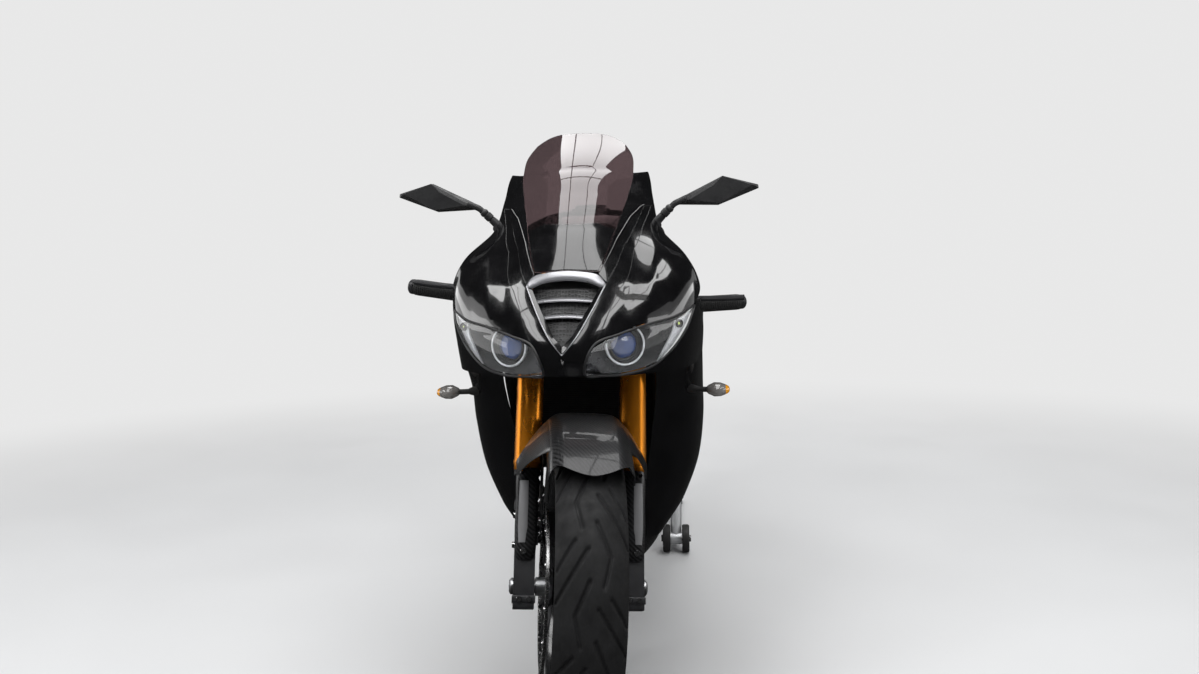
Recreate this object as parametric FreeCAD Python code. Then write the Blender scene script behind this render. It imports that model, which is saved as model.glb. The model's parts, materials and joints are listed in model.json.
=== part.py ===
import FreeCAD, Part
import math
import os
from FreeCAD import Vector

os.makedirs("parts", exist_ok=True)

# Sport bike standing on a rear paddock stand, in millimetres.
# Working frame: origin on the floor below the front axle, +Z up, -Y ahead, +X to the rider's left.
# The finished pieces are moved back by ORIGIN_Y, to the middle of the floor box.

# Whole machine
WHEELBASE = 1395.0
STAND_REAR = 1800.0
HALF_SPAN = 358.0
REAR_AXLE_Z = 360.0

# Steering
RAKE = 22.5
TRAIL = 89.0
STEER_REST = 10.7
STEM_R = 15.0
STEM_BORE_R = 8.5
STEM_BORE_DEPTH = 60.0
RUNNING = 0.05

# Fork, measured along its own axis up from the axle
FORK_X = 101.0
FORK_TUBE_R = 26.0
STANCHION_R = 20.5
STANCHION_FIT = 0.3
CASTING_FOOT = -40.0
CASTING_TOP = 150.0
FORK_TUBE_LOW = 214.0
FORK_TUBE_TOP = 618.0
CASTING_HALF = 21.0
LOWER_YOKE_Z = 432.0
LOWER_YOKE_T = 34.0
UPPER_YOKE_Z = 586.0
UPPER_YOKE_T = 20.0
HEAD_TUBE_R = 30.0
HEAD_GAP = 6.0
# Mudguard: gap over the tyre, shell, and the angles its ends lie behind and ahead of the fork
GUARD_GAP = 20.0
GUARD_T = 2.2
GUARD_BACK = 30.0
GUARD_AHEAD = 60.0
GUARD_SIDES = 12

# Handlebars
BAR_R = 11.0
BAR_END_X = 344.0
BAR_END_BACK = 96.0
BAR_END_Z = 610.0
BAR_CLAMP_Z = 566.0
BAR_CLAMP_H = 30.0
CLAMP_WALL = 9.0
GRIP_R = 17.0
GRIP_L = 118.0
LEVER_R = 6.0
LEVER_AHEAD = 46.0

# Front wheel
FRONT_TYRE_W = 120.0
FRONT_SECTION = 84.0
FRONT_RIM_W = 104.0
FRONT_HUB_W = 100.0
FRONT_AXLE_R = 12.5
FRONT_AXLE_L = 258.0
FRONT_DISC_X = 65.0
FRONT_DISC_R = 154.0
FRONT_DISC_BAND = 34.0
DISC_T = 5.0
DISC_ROOM = 6.0

# Rear wheel
REAR_SECTION = 99.0
REAR_TYRE_W = 180.0
REAR_RIM_W = 152.0
REAR_HUB_W = 190.0
REAR_AXLE_R = 12.5
REAR_AXLE_L = 336.0
REAR_DISC_X = -108.0
REAR_DISC_R = 110.0
REAR_DISC_BAND = 38.0
CHAIN_X = 108.0
HUGGER_GAP = 7.0
HUGGER_SIDES = 8

# Rims that both wheels share. A tyre's section is its height over the bead seat.
BEAD_R = 216.0
FLANGE_H = 8.0
FLANGE_T = 5.0
RIM_T = 16.0
HUB_R = 34.0
SPOKES = 5
SPOKE_T = 26.0
CARRIER_T = 6.0
CARRIER_EDGE = 10.0
CARRIER_ARMS = 5

# Straight runs that stand for a full circle, and for one arc of an outline
WHEEL_SIDES = 32
DISC_SIDES = 16
ROD_SIDES = 8
TUBE_SIDES = 8
ARC_RUNS = 2
CROWN_RUNS = 4
TANK_RUNS = 8
BEND_RUNS = 2
FLAT = 0.000001

# Chain and sprockets
PITCH = 15.875
REAR_TEETH = 47
FRONT_TEETH = 16
SPROCKET_T = 6.0
PLATE_H = 15.0
PLATE_WAIST = 10.5
PLATE_T = 4.0
PLATE_GAP = 11.0
ROLLER_R = 5.0
ROLLER_EVERY = 6
ROLLER_SIDES = 6
SPROCKET_AHEAD = 88.0
SPROCKET_ABOVE = 20.0
SHAFT_R = 14.0

# Swingarm
PIVOT_Y = 800.0
PIVOT_Z = 452.0
PIVOT_PIN_R = 12.0
PIVOT_PIN_HALF = 160.0
ARM_IN = 123.0
ARM_W = 32.0
SPOOL_Y = 1296.0
SPOOL_Z = 372.0
SPOOL_R = 12.0
SPOOL_L = 32.0

# Paddock stand
STAND_TUBE_R = 16.0
STAND_TUBE_X = 176.0
STAND_WHEEL_Y = 1190.0
STAND_WHEEL_R = 42.0
STAND_WHEEL_W = 22.0
STAND_WHEEL_GAP = 2.0
STAND_PAD_T = 6.0
STAND_AXLE_R = 8.0
STAND_FOOT_H = 18.0

# Bodywork
SKIN = 4.0

# Tank, seats and tail
CAP_Y = 500.0
CAP_R = 36.0
CAP_T = 7.0
SEAT_GAP = 0.3
FILLER_R = 22.0
FILLER_DEPTH = 45.0
TANK_TOP = 1012.0
TANK_BASE = 800.0
ENGINE_HALF = 122.0

# Side stand
PROP_X = 152.0
PROP_Y = 770.0
PROP_Z = 304.0
PROP_L = 248.0
PROP_R = 11.0
PROP_TILT = 16.0

# Mirrors and number plate bracket
MIRROR_Y = 165.0
MIRROR_Z = 1032.0
PLATE_HOLE_R = 3.25
PLATE_HOLE_SPACING = 120.0
PLATE_HOLE_Z = 690.0
PLATE_BACK = 1652.0
PLATE_T_BACK = 6.0

FRONT_TYRE_R = BEAD_R + FRONT_SECTION
REAR_TYRE_R = BEAD_R + REAR_SECTION
FRONT_AXLE_Z = FRONT_TYRE_R
GEARBOX_Y = PIVOT_Y - SPROCKET_AHEAD
GEARBOX_Z = PIVOT_Z + SPROCKET_ABOVE
ORIGIN_Y = (STAND_REAR - FRONT_TYRE_R) / 2.0
X_AXIS = Vector(1, 0, 0)
Y_AXIS = Vector(0, 1, 0)
Z_AXIS = Vector(0, 0, 1)
RAKE_RAD = math.radians(RAKE)
FORK_UP = Vector(0, math.sin(RAKE_RAD), math.cos(RAKE_RAD))
FRONT_AXLE = Vector(0, 0, FRONT_AXLE_Z)
REAR_AXLE = Vector(0, WHEELBASE, REAR_AXLE_Z)
STEER_FOOT = Vector(0, -TRAIL, 0)
PIVOT = Vector(0, PIVOT_Y, PIVOT_Z)
# Distance from the fork's axis back to the steering axis.
YOKE_OFFSET = (FRONT_AXLE_Z * math.tan(RAKE_RAD) - TRAIL) * math.cos(RAKE_RAD)


# Shape helpers

def polygon_face(points):
    return Part.Face(Part.makePolygon(points + [points[0]]))


def through(points, runs=ARC_RUNS):
    """Corners along arcs through every other point, each arc cut into straight runs."""
    corners = [points[0]]
    for start in range(0, len(points) - 2, 2):
        arc = Part.Arc(*points[start:start + 3])
        corners += arc.toShape().discretize(runs + 1)[1:]
    return corners


def patches(low, high):
    """Flat faces between two rings of equally many corners. A twisted patch is folded along its diagonal."""
    faces = []
    for index in range(len(low)):
        after = (index + 1) % len(low)
        a, b, c, d = low[index], low[after], high[after], high[index]
        square = (b - a).cross(c - a)
        if abs(square.dot(d - a)) < FLAT * square.Length:
            faces.append(polygon_face([a, b, c, d]))
        else:
            faces.append(polygon_face([a, b, c]))
            faces.append(polygon_face([a, c, d]))
    return faces


def skin(rings, closed_loop=False):
    """Solid over a row of rings, with flat ends or joined end to end."""
    faces = []
    for low, high in zip(rings, rings[1:]):
        faces += patches(low, high)
    if closed_loop:
        faces += patches(rings[-1], rings[0])
    else:
        faces += [polygon_face(rings[0]), polygon_face(rings[-1])]
    solid = Part.Solid(Part.Shell(faces))
    if solid.Volume < 0:
        solid.reverse()
    return solid


def ring_x(profile, centre, sides=WHEEL_SIDES, start=0.0, sweep=360.0):
    """Turns an (x, radius) outline about the X direction in equal straight sides, from straight up to ahead."""
    whole = sweep == 360.0
    rings = []
    for index in range(sides if whole else sides + 1):
        angle = math.radians(start + sweep * index / sides)
        out = Vector(0, -math.sin(angle), math.cos(angle))
        rings.append([centre + X_AXIS * x + out * radius for x, radius in profile])
    return skin(rings, whole)


def many_sided(points, radius, sides):
    """Straight or bent bar with a regular cross-section, from its middle line."""
    last = len(points) - 1
    first = (points[1] - points[0]).normalize()
    side = Y_AXIS if abs(first.z) > 0.9 else Z_AXIS
    rings = []
    for index, point in enumerate(points):
        along = (points[min(index + 1, last)] - points[max(index - 1, 0)]).normalize()
        side = (side - along * side.dot(along)).normalize()
        other = along.cross(side)
        turns = [2.0 * math.pi * corner / sides for corner in range(sides)]
        rings.append([point + (side * math.cos(turn) + other * math.sin(turn)) * radius for turn in turns])
    return skin(rings)


def bar(start, end, radius, sides=ROD_SIDES):
    return many_sided([start, end], radius, sides)


def flat_hole(start, end, radius):
    """Cutter whose flats leave the running gap round a fixed pin of that radius."""
    return bar(start, end, (radius + RUNNING) / math.cos(math.pi / DISC_SIDES), DISC_SIDES)


def prism_x(outline, x_low, x_high):
    """Outline of (y, z) corners, drawn from x_low to x_high."""
    face = polygon_face([Vector(x_low, y, z) for y, z in outline])
    return face.extrude(Vector(x_high - x_low, 0, 0))


def prism_y(outline, y_low, y_high):
    """Outline of (x, z) corners, drawn from y_low to y_high."""
    face = polygon_face([Vector(x, y_low, z) for x, z in outline])
    return face.extrude(Vector(0, y_high - y_low, 0))


def prism_z(outline, z_low, z_high):
    """Outline of (x, y) corners, drawn from z_low to z_high."""
    face = polygon_face([Vector(x, y, z_low) for x, y in outline])
    return face.extrude(Vector(0, 0, z_high - z_low))


def rod(start, end, radius):
    axis = end - start
    return Part.makeCylinder(radius, axis.Length, start, axis)


def pipe(start, end, radius, bore):
    return rod(start, end, radius).cut(rod(start, end, bore))


def bent_tube(points, radius, bend):
    """Tube along straight runs with an arc of one radius, in short runs, at every corner."""
    path = [points[0]]
    for before, corner, after in zip(points, points[1:], points[2:]):
        to_before = (before - corner).normalize()
        to_after = (after - corner).normalize()
        half = to_before.getAngle(to_after) / 2.0
        reach = bend / math.tan(half)
        middle = (to_before + to_after).normalize() * (bend / math.sin(half) - bend)
        path += through([corner + to_before * reach, corner + middle, corner + to_after * reach], BEND_RUNS)
    return many_sided(path + [points[-1]], radius, TUBE_SIDES)


def beam(stations):
    """Box beam through stations of (x, y, z, width, height), square to its side view."""
    rings = []
    last = len(stations) - 1
    for index, (x, y, z, width, height) in enumerate(stations):
        before = stations[max(index - 1, 0)]
        after = stations[min(index + 1, last)]
        along = Vector(0, after[1] - before[1], after[2] - before[2]).normalize()
        up = Vector(0, -along.z, along.y) * (height / 2.0)
        side = Vector(width / 2.0, 0, 0)
        middle = Vector(x, y, z)
        corners = [middle - side - up, middle + side - up, middle + side + up, middle - side + up]
        rings.append(corners)
    return skin(rings)


def mirrored(shape):
    return shape.mirror(Vector(0, 0, 0), X_AXIS)


def pair(shape):
    return Part.makeCompound([shape, mirrored(shape)])


def fused(shapes):
    return shapes[0].multiFuse(shapes[1:]).removeSplitter()


def on_fork(shape):
    """Leans a shape that was drawn upright over the axle back to the fork's rake."""
    leant = shape.copy()
    leant.rotate(Vector(0, 0, 0), X_AXIS, -RAKE)
    leant.translate(FRONT_AXLE)
    return leant


def steered(shape):
    """Turns a shape of the straight-ahead front end to where the bars rest."""
    turned = shape.copy()
    turned.rotate(STEER_FOOT, FORK_UP, STEER_REST)
    return turned


# Wheels

def tyre(radius, width, rim_width, centre):
    """Solid ring seated on the rim: bead, sidewall and round crown."""
    bead = rim_width / 2.0 - FLANGE_T
    shoulder_r = radius - width * 0.28
    wall = [(bead, BEAD_R), (bead, BEAD_R + FLANGE_H + 1.0), (width / 2.0 - 3.0, (BEAD_R + shoulder_r) / 2.0)]
    crown = through([Vector(width / 2.0, 0, shoulder_r), Vector(0, 0, radius),
                     Vector(-width / 2.0, 0, shoulder_r)], CROWN_RUNS)
    return ring_x(wall + [(v.x, v.z) for v in crown] + [(-x, r) for x, r in reversed(wall)], centre)


def wheel(rim_width, hub_width, axle_r, centre):
    """Cast rim with its bead seats, split spokes and hub, bored for the axle."""
    half = rim_width / 2.0
    seat = half - FLANGE_T
    flange_r = BEAD_R + FLANGE_H
    well_r = BEAD_R - RIM_T
    outer = [(-half, flange_r), (-seat, flange_r), (-seat, BEAD_R), (seat, BEAD_R), (seat, flange_r),
             (half, flange_r)]
    inner = [(half, BEAD_R - FLANGE_H), (half * 0.4, well_r), (-half * 0.4, well_r), (-half, BEAD_R - FLANGE_H)]
    rim = ring_x(outer + inner, centre)
    hub = bar(centre - X_AXIS * (hub_width / 2.0), centre + X_AXIS * (hub_width / 2.0), HUB_R, DISC_SIDES)
    root = HUB_R - 8.0
    fork = well_r * 0.52
    tip = well_r + 4.0
    # Half outline of one spoke in the wheel's plane, as (across, outward).
    arm = [(13.0, root), (11.0, fork), (34.0, tip), (21.0, tip)]
    outline = arm + [(0.0, fork + 22.0)] + [(-across, out) for across, out in reversed(arm)]
    pieces = [rim, hub]
    for index in range(SPOKES):
        spoke = prism_x([(centre.y + a, centre.z + b) for a, b in outline], -SPOKE_T / 2.0, SPOKE_T / 2.0)
        spoke.rotate(centre, X_AXIS, 360.0 / SPOKES * index)
        pieces.append(spoke)
    bore = rod(centre - X_AXIS * hub_width, centre + X_AXIS * hub_width, axle_r + RUNNING)
    return fused(pieces).cut(bore)


def brake_disc(radius, band, x, hub_x, centre):
    """Friction band on the sloping arms of a carrier that bolts to the hub's face."""
    out = math.copysign(1.0, x)
    near = x - out * DISC_T / 2.0
    far = x + out * DISC_T / 2.0
    hub_far = hub_x + out * CARRIER_T
    seat_r = HUB_R + CARRIER_EDGE
    band_r = radius - band
    ring = ring_x([(near, radius), (far, radius), (far, band_r), (near, band_r)], centre)
    seat = ring_x([(hub_x, seat_r), (hub_far, seat_r), (hub_far, HUB_R - CARRIER_EDGE),
                   (hub_x, HUB_R - CARRIER_EDGE)], centre, DISC_SIDES)
    pieces = [ring, seat]
    for index in range(CARRIER_ARMS):
        # Sections of the arm as (half width, radius, inner x, outer x).
        sections = [(15.0, HUB_R, hub_x, hub_far), (8.0, band_r + 3.0, near, far)]
        corners = [((low, -half), (high, -half), (high, half), (low, half)) for half, _, low, high in sections]
        arm = skin([[centre + Vector(a, across, section[1]) for a, across in corner]
                    for corner, section in zip(corners, sections)])
        arm.rotate(centre, X_AXIS, 360.0 / CARRIER_ARMS * index)
        pieces.append(arm)
    return fused(pieces)


front_tyre = steered(tyre(FRONT_TYRE_R, FRONT_TYRE_W, FRONT_RIM_W, FRONT_AXLE))
front_wheel = steered(wheel(FRONT_RIM_W, FRONT_HUB_W, FRONT_AXLE_R, FRONT_AXLE))
front_discs = Part.makeCompound([
    steered(brake_disc(FRONT_DISC_R, FRONT_DISC_BAND,
                       side * FRONT_DISC_X, side * FRONT_HUB_W / 2.0, FRONT_AXLE))
    for side in (-1, 1)])
rear_tyre = tyre(REAR_TYRE_R, REAR_TYRE_W, REAR_RIM_W, REAR_AXLE)
rear_wheel = wheel(REAR_RIM_W, REAR_HUB_W, REAR_AXLE_R, REAR_AXLE)


def sprocket(teeth, x, centre, bore):
    """Toothed plate with a flat valley for each roller."""
    pitch_r = PITCH / (2.0 * math.sin(math.pi / teeth))
    outline = []
    for index in range(teeth):
        for turn, radius in ((-0.28, pitch_r - ROLLER_R), (0.0, pitch_r + 3.4), (0.28, pitch_r - ROLLER_R)):
            angle = 2.0 * math.pi * (index + turn) / teeth
            outline.append((centre.y + radius * math.cos(angle), centre.z + radius * math.sin(angle)))
    plate = prism_x(outline, x - SPROCKET_T / 2.0, x + SPROCKET_T / 2.0)
    middle = Vector(x, centre.y, centre.z)
    return plate.cut(bar(middle - X_AXIS * SPROCKET_T, middle + X_AXIS * SPROCKET_T, bore, DISC_SIDES))


hub_end = REAR_HUB_W / 2.0
cush_rim = HUB_R + 12.0
cush_bore = HUB_R - 8.0
cush_drive = ring_x([(hub_end, cush_rim), (CHAIN_X, cush_rim), (CHAIN_X, cush_bore), (hub_end, cush_bore)],
                    REAR_AXLE, DISC_SIDES)
rear_sprocket = sprocket(REAR_TEETH, CHAIN_X, REAR_AXLE, HUB_R - 8.0).fuse(cush_drive)
rear_disc = brake_disc(REAR_DISC_R, REAR_DISC_BAND, REAR_DISC_X, -REAR_HUB_W / 2.0, REAR_AXLE)
rear_disc_sprocket = Part.makeCompound([rear_disc, rear_sprocket])
rear_axle = rod(REAR_AXLE - X_AXIS * REAR_AXLE_L / 2.0, REAR_AXLE + X_AXIS * REAR_AXLE_L / 2.0, REAR_AXLE_R)

# Front fork, drawn upright over the axle and then leant back and turned

front_axle = rod(Vector(-FRONT_AXLE_L / 2.0, 0, 0), Vector(FRONT_AXLE_L / 2.0, 0, 0), FRONT_AXLE_R)


def fork_leg():
    """Axle clamp, casting with the caliper lugs, and the bright stanchion."""
    outline = [(-24, CASTING_FOOT), (24, CASTING_FOOT), (26, 30), (44, 60), (44, CASTING_TOP - 10),
               (24, CASTING_TOP), (-24, CASTING_TOP)]
    casting = prism_x(outline, FORK_X - CASTING_HALF, FORK_X + CASTING_HALF)
    stanchion = bar(Vector(FORK_X, 0, CASTING_TOP), Vector(FORK_X, 0, UPPER_YOKE_Z), STANCHION_R, DISC_SIDES)
    axle_hole = flat_hole(Vector(0, 0, 0), Vector(FORK_X * 2.0, 0, 0), FRONT_AXLE_R)
    return casting.fuse(stanchion).cut(axle_hole)


def fork_tube():
    """Outer tube, bored for the stanchion, with a cap above the upper yoke."""
    foot = Vector(FORK_X, 0, FORK_TUBE_LOW)
    head = Vector(FORK_X, 0, UPPER_YOKE_Z)
    cap = bar(head, Vector(FORK_X, 0, FORK_TUBE_TOP), FORK_TUBE_R, DISC_SIDES)
    tube = bar(foot, head, FORK_TUBE_R, DISC_SIDES)
    tube = tube.cut(bar(foot, head, STANCHION_R + STANCHION_FIT, DISC_SIDES))
    return tube.fuse(cap)


def disc_slot(x, radius, centre):
    """Room that a caliper leaves round a disc."""
    half = DISC_T / 2.0 + DISC_ROOM
    return ring_x([(x - half, HUB_R), (x + half, HUB_R), (x + half, radius + DISC_ROOM),
                   (x - half, radius + DISC_ROOM)], centre)


def caliper():
    """Radial caliper block that straddles the disc behind the casting."""
    block = prism_x([(44, 108), (78, 80), (118, 96), (124, 128), (96, 158), (44, 150)],
                    FRONT_DISC_X - 30.0, FRONT_DISC_X + 34.0)
    return block.cut(disc_slot(FRONT_DISC_X, FRONT_DISC_R, Vector(0, 0, 0)))


def yoke(z, thickness, width, depth):
    """One clamp plate that holds both fork tubes and the stem."""
    half = FORK_X + width
    outline = [(-half, -depth), (half, -depth), (half, depth * 0.8), (46, YOKE_OFFSET + 30),
               (-46, YOKE_OFFSET + 30), (-half, depth * 0.8)]
    plate = prism_z(outline, z, z + thickness)
    for side in (-1, 1):
        plate = plate.cut(bar(Vector(side * FORK_X, 0, z - 1), Vector(side * FORK_X, 0, z + thickness + 1),
                              FORK_TUBE_R, DISC_SIDES))
    return plate


stem = rod(Vector(0, YOKE_OFFSET, LOWER_YOKE_Z), Vector(0, YOKE_OFFSET, UPPER_YOKE_Z + UPPER_YOKE_T), STEM_R)
stem_bore = rod(Vector(0, YOKE_OFFSET, LOWER_YOKE_Z), Vector(0, YOKE_OFFSET, LOWER_YOKE_Z + STEM_BORE_DEPTH),
                STEM_BORE_R)
yokes = fused([yoke(LOWER_YOKE_Z, LOWER_YOKE_T, 30, 34), yoke(UPPER_YOKE_Z, UPPER_YOKE_T, 30, 32), stem])
yokes = yokes.cut(stem_bore)

BAR_START = Vector(FORK_X, 0, BAR_CLAMP_Z - BAR_CLAMP_H / 2.0)
BAR_END = Vector(BAR_END_X, BAR_END_BACK, BAR_END_Z)
BAR_DIR = (BAR_END - BAR_START).normalize()
GRIP_START = BAR_END - BAR_DIR * GRIP_L


def handlebar():
    """Clip-on clamp, bar, switch block and lever on one side."""
    half_clamp = Z_AXIS * BAR_CLAMP_H / 2.0
    clamp = bar(BAR_START - half_clamp, BAR_START + half_clamp, FORK_TUBE_R + CLAMP_WALL, DISC_SIDES)
    hole = bar(BAR_START - half_clamp * 2.0, BAR_START + half_clamp * 2.0, FORK_TUBE_R, DISC_SIDES)
    tube = bar(BAR_START + BAR_DIR * FORK_TUBE_R, BAR_END, BAR_R)
    switch = bar(GRIP_START - BAR_DIR * 34.0, GRIP_START - BAR_DIR * 2.0, GRIP_R + 4.0)
    perch = GRIP_START - BAR_DIR * 30.0
    ahead = Vector(0, -1, 0)
    bracket = bar(perch, perch + ahead * (LEVER_AHEAD - 2.0), LEVER_R + 3.0)
    lever = bar(perch + ahead * (LEVER_AHEAD - 4.0), BAR_END + ahead * LEVER_AHEAD, LEVER_R)
    return fused([clamp, tube, switch, bracket, lever]).cut(hole)


def grip():
    return bar(GRIP_START, BAR_END, GRIP_R).cut(bar(GRIP_START, BAR_END, BAR_R))


def mudguard():
    """Arched guard over the tyre with side cheeks that bolt to the castings."""
    inner_r = FRONT_TYRE_R + GUARD_GAP
    outer_r = inner_r + GUARD_T
    half = FRONT_DISC_X + DISC_T / 2.0 + 5.0
    edge = half + GUARD_T
    profile = [(-edge, inner_r - 60), (-edge, inner_r - 20), (-half * 0.7, outer_r), (half * 0.7, outer_r),
               (edge, inner_r - 20), (edge, inner_r - 60), (half, inner_r - 60), (half, inner_r - 22),
               (half * 0.66, inner_r), (-half * 0.66, inner_r), (-half, inner_r - 22), (-half, inner_r - 60)]
    arch = ring_x(profile, Vector(0, 0, 0), GUARD_SIDES, -GUARD_BACK, GUARD_BACK + GUARD_AHEAD)
    cheek = prism_x([(-62, 96), (12, 84), (34, 262), (-90, 262)], half, edge)
    boss = bar(Vector(edge - 0.5, -4, 118), Vector(FORK_X - CASTING_HALF, -4, 118), 9.0)
    return fused([arch, cheek, boss, mirrored(cheek), mirrored(boss)])


fork_outer_tubes = steered(on_fork(pair(fork_tube())))
fork_legs = steered(on_fork(pair(fork_leg())))
front_calipers = steered(on_fork(pair(caliper())))
front_mudguard = steered(on_fork(mudguard()))
yokes = steered(on_fork(yokes))
handlebars = steered(on_fork(pair(handlebar())))
grips = steered(on_fork(pair(grip())))
front_axle = steered(on_fork(front_axle))

# Upper bodywork. Columns: z, y of the centre line, then (x, y) of five points round to the rear edge.
NOSE_LEVELS = [
    (700, -84, (75, -72), (140, -25), (200, 45), (226, 120), (236, 200)),
    (742, -112, (75, -88), (150, -28), (207, 42), (232, 120), (242, 200)),
    (800, -82, (75, -66), (155, -12), (213, 48), (238, 118), (246, 200)),
    (860, -38, (75, -24), (150, 22), (208, 62), (232, 104), (238, 128)),
    (910, 5, (60, 18), (120, 58), (172, 82), (205, 108), (211, 124)),
    (960, 55, (50, 66), (100, 104), (135, 132), (160, 162), (165, 180)),
    (1020, 118, (50, 130), (100, 172), (128, 196), (147, 215), (150, 225)),
    (1076, 185, (50, 196), (104, 232), (126, 248), (138, 262), (140, 268)),
    (1161, 306, (40, 312), (80, 332), (100, 346), (108, 356), (110, 360)),
]


def nose_block(inset):
    """Filled front body, moved in from the outer surface by the inset."""
    rings = []
    for z, centre_y, a, b, c, d, e in NOSE_LEVELS:
        def at(point, side):
            x, y = point
            share = x / 240.0
            return Vector(side * (x - inset * math.sqrt(share)), y + inset * (1.0 - 0.7 * share), z)

        middle = Vector(0, centre_y + inset, z)
        front = through([at(d, -1), at(c, -1), at(b, -1), at(a, -1), middle,
                         at(a, 1), at(b, 1), at(c, 1), at(d, 1)])
        rings.append([at(e, -1)] + front + [at(e, 1)])
    return skin(rings)


# Front-view outlines as (x, z), one side.
LAMP_OUTLINE = [(36, 707), (105, 703), (150, 712), (186, 740), (212, 775), (226, 812), (190, 796), (146, 790),
                (96, 775), (53, 757)]
GRILLE_OUTLINE = [(0, 744), (40, 801), (66, 858), (44, 872), (0, 878)]
GRILLE_DEPTH = 12.0
# Openings between the cap, the two slats and the tip.
GRILLE_WINDOWS = [[(0, 834), (47, 834), (53, 853), (0, 863)], [(0, 807), (33, 807), (43, 826), (0, 826)],
                  [(0, 761), (28, 799), (0, 799)]]
SCREEN_OUTLINE = [(0, 884), (60, 880), (84, 960), (101, 1020), (111, 1076), (108, 1110), (92, 1138),
                  (56, 1157), (0, 1163)]
WING_TOP = 1076.0
FRONT_FACE = -200.0
BODY_BACK = 400.0


def whole_outline(half):
    return half + [(-x, z) for x, z in reversed(half) if x > 0]


outer_block = nose_block(0.0)
inner_block = nose_block(SKIN)
lamp_hole = prism_y(LAMP_OUTLINE, FRONT_FACE, 160.0)
grille_hole = prism_y(whole_outline(GRILLE_OUTLINE), FRONT_FACE, BODY_BACK)
screen_hole = prism_y(whole_outline(SCREEN_OUTLINE), FRONT_FACE, BODY_BACK)
above_wings = Part.makeBox(800, 900, 200, Vector(-400, -300, WING_TOP))

nose_fairing = outer_block.cut(inner_block).cut(lamp_hole).cut(mirrored(lamp_hole)).cut(grille_hole)
nose_fairing = nose_fairing.cut(screen_hole).cut(above_wings)
lens_block = nose_block(24.0)
headlight = outer_block.cut(lens_block).common(lamp_hole)
headlights = Part.makeCompound([headlight, mirrored(headlight)])
screen = outer_block.cut(nose_block(3.0)).common(screen_hole)
grille = outer_block.cut(nose_block(GRILLE_DEPTH)).common(grille_hole)
for window in GRILLE_WINDOWS:
    grille = grille.cut(prism_y(whole_outline(window), FRONT_FACE, BODY_BACK))

# Lower bodywork. Columns: z, then (x, y) of the duct lip, its bulge, the widest point, the flank and the rear.
SIDE_LEVELS = [
    (700, (150, 132), (206, 160), (236, 200), (247, 380), (240, 560)),
    (640, (150, 172), (208, 204), (238, 270), (248, 420), (243, 620)),
    (560, (140, 215), (206, 245), (242, 320), (248, 470), (242, 670)),
    (460, (126, 255), (190, 275), (228, 340), (238, 500), (228, 700)),
    (370, (108, 285), (160, 302), (194, 350), (208, 510), (196, 724)),
    (300, (88, 312), (126, 324), (150, 360), (168, 540), (155, 738)),
]
# Columns: z, then (x, y) of the seam with the nose, the flank and the rear.
SHOULDER_LEVELS = [
    (700, (236, 201), (247, 380), (240, 560)),
    (745, (242, 201), (249, 360), (240, 520)),
    (792, (246, 201), (248, 330), (236, 460)),
]


def skin_ring(points, z, inset):
    """Closed band through three or five points, thickened inwards."""
    outer = through([Vector(x, y, z) for x, y in points])
    inner = [point + Vector(-inset, inset * 0.3, 0) for point in outer]
    return outer + inner[::-1]


lower_side = skin([skin_ring(row[1:], row[0], SKIN) for row in SIDE_LEVELS])
upper_side = skin([skin_ring(row[1:], row[0], SKIN) for row in SHOULDER_LEVELS])
# The shoulder falls away below the bars' sweep. Corners (y, z) of what is cut off.
BAR_SWEEP = [(190, 800), (230, 792), (300, 762), (480, 706), (620, 706), (620, 900), (190, 900)]
upper_side = upper_side.cut(prism_x(BAR_SWEEP, 150, 300))
side_fairing_left = lower_side.fuse(upper_side)
side_fairing_right = mirrored(side_fairing_left)

# Belly pan. Columns: y, half width at the top, half width of the keel, keel height.
BELLY_STATIONS = [(372, 120, 60, 226), (460, 154, 84, 196), (660, 160, 92, 190), (738, 152, 84, 205)]
BELLY_TOP = 299.6


def belly_ring(y, top_half, keel_half, keel_z):
    side_z = (BELLY_TOP + keel_z) / 2.0
    side = (top_half + keel_half) / 2.0 + 14.0
    half = [(top_half, BELLY_TOP), (side, side_z), (keel_half, keel_z)]
    inner = [(x - SKIN, z + (0.0 if z == BELLY_TOP else SKIN)) for x, z in half]
    outline = half + [(-x, z) for x, z in reversed(half)] + [(-x, z) for x, z in inner] + list(reversed(inner))
    return [Vector(x, y, z) for x, z in outline]


belly_fairing = skin([belly_ring(*station) for station in BELLY_STATIONS])

# Mirrors: diamond heads on ball-jointed stalks


def mirror():
    """Faceted housing and its stalk down to the fairing."""
    outline = [(190, MIRROR_Z - 26), (278, MIRROR_Z - 30), (HALF_SPAN, MIRROR_Z + 8), (288, MIRROR_Z + 28),
               (206, MIRROR_Z - 12)]
    head = prism_y(outline, MIRROR_Y, MIRROR_Y + 26)
    stalk = bar(Vector(152, 186, 966), Vector(200, MIRROR_Y + 12, MIRROR_Z - 20), 7.0)
    foot = Part.makeBox(26, 34, 8, Vector(140, 186, 962))
    return fused([head, stalk, foot]).cut(outer_block)


mirrors = pair(mirror())


def front_signal():
    stalk = bar(Vector(214, 218, 638), Vector(262, 200, 638), 5.0)
    lamp = prism_x([(178, 628), (222, 630), (222, 646), (178, 649)], 258, 290)
    return stalk.fuse(lamp).cut(side_fairing_left)


def rear_signal():
    stalk = bar(Vector(30, 1600, 768), Vector(92, 1600, 760), 5.0)
    lamp = prism_x([(1585, 749), (1620, 751), (1620, 768), (1585, 771)], 90, 124)
    return stalk.fuse(lamp)


# Instruments behind the screen
instrument_case = prism_x([(138, 922), (166, 908), (212, 966), (184, 982)], -84, 84)

# Frame, headstock and rear subframe


def head_point(along):
    point = Vector(0, YOKE_OFFSET, along)
    point = on_fork(Part.Vertex(point)).Point
    return point


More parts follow.
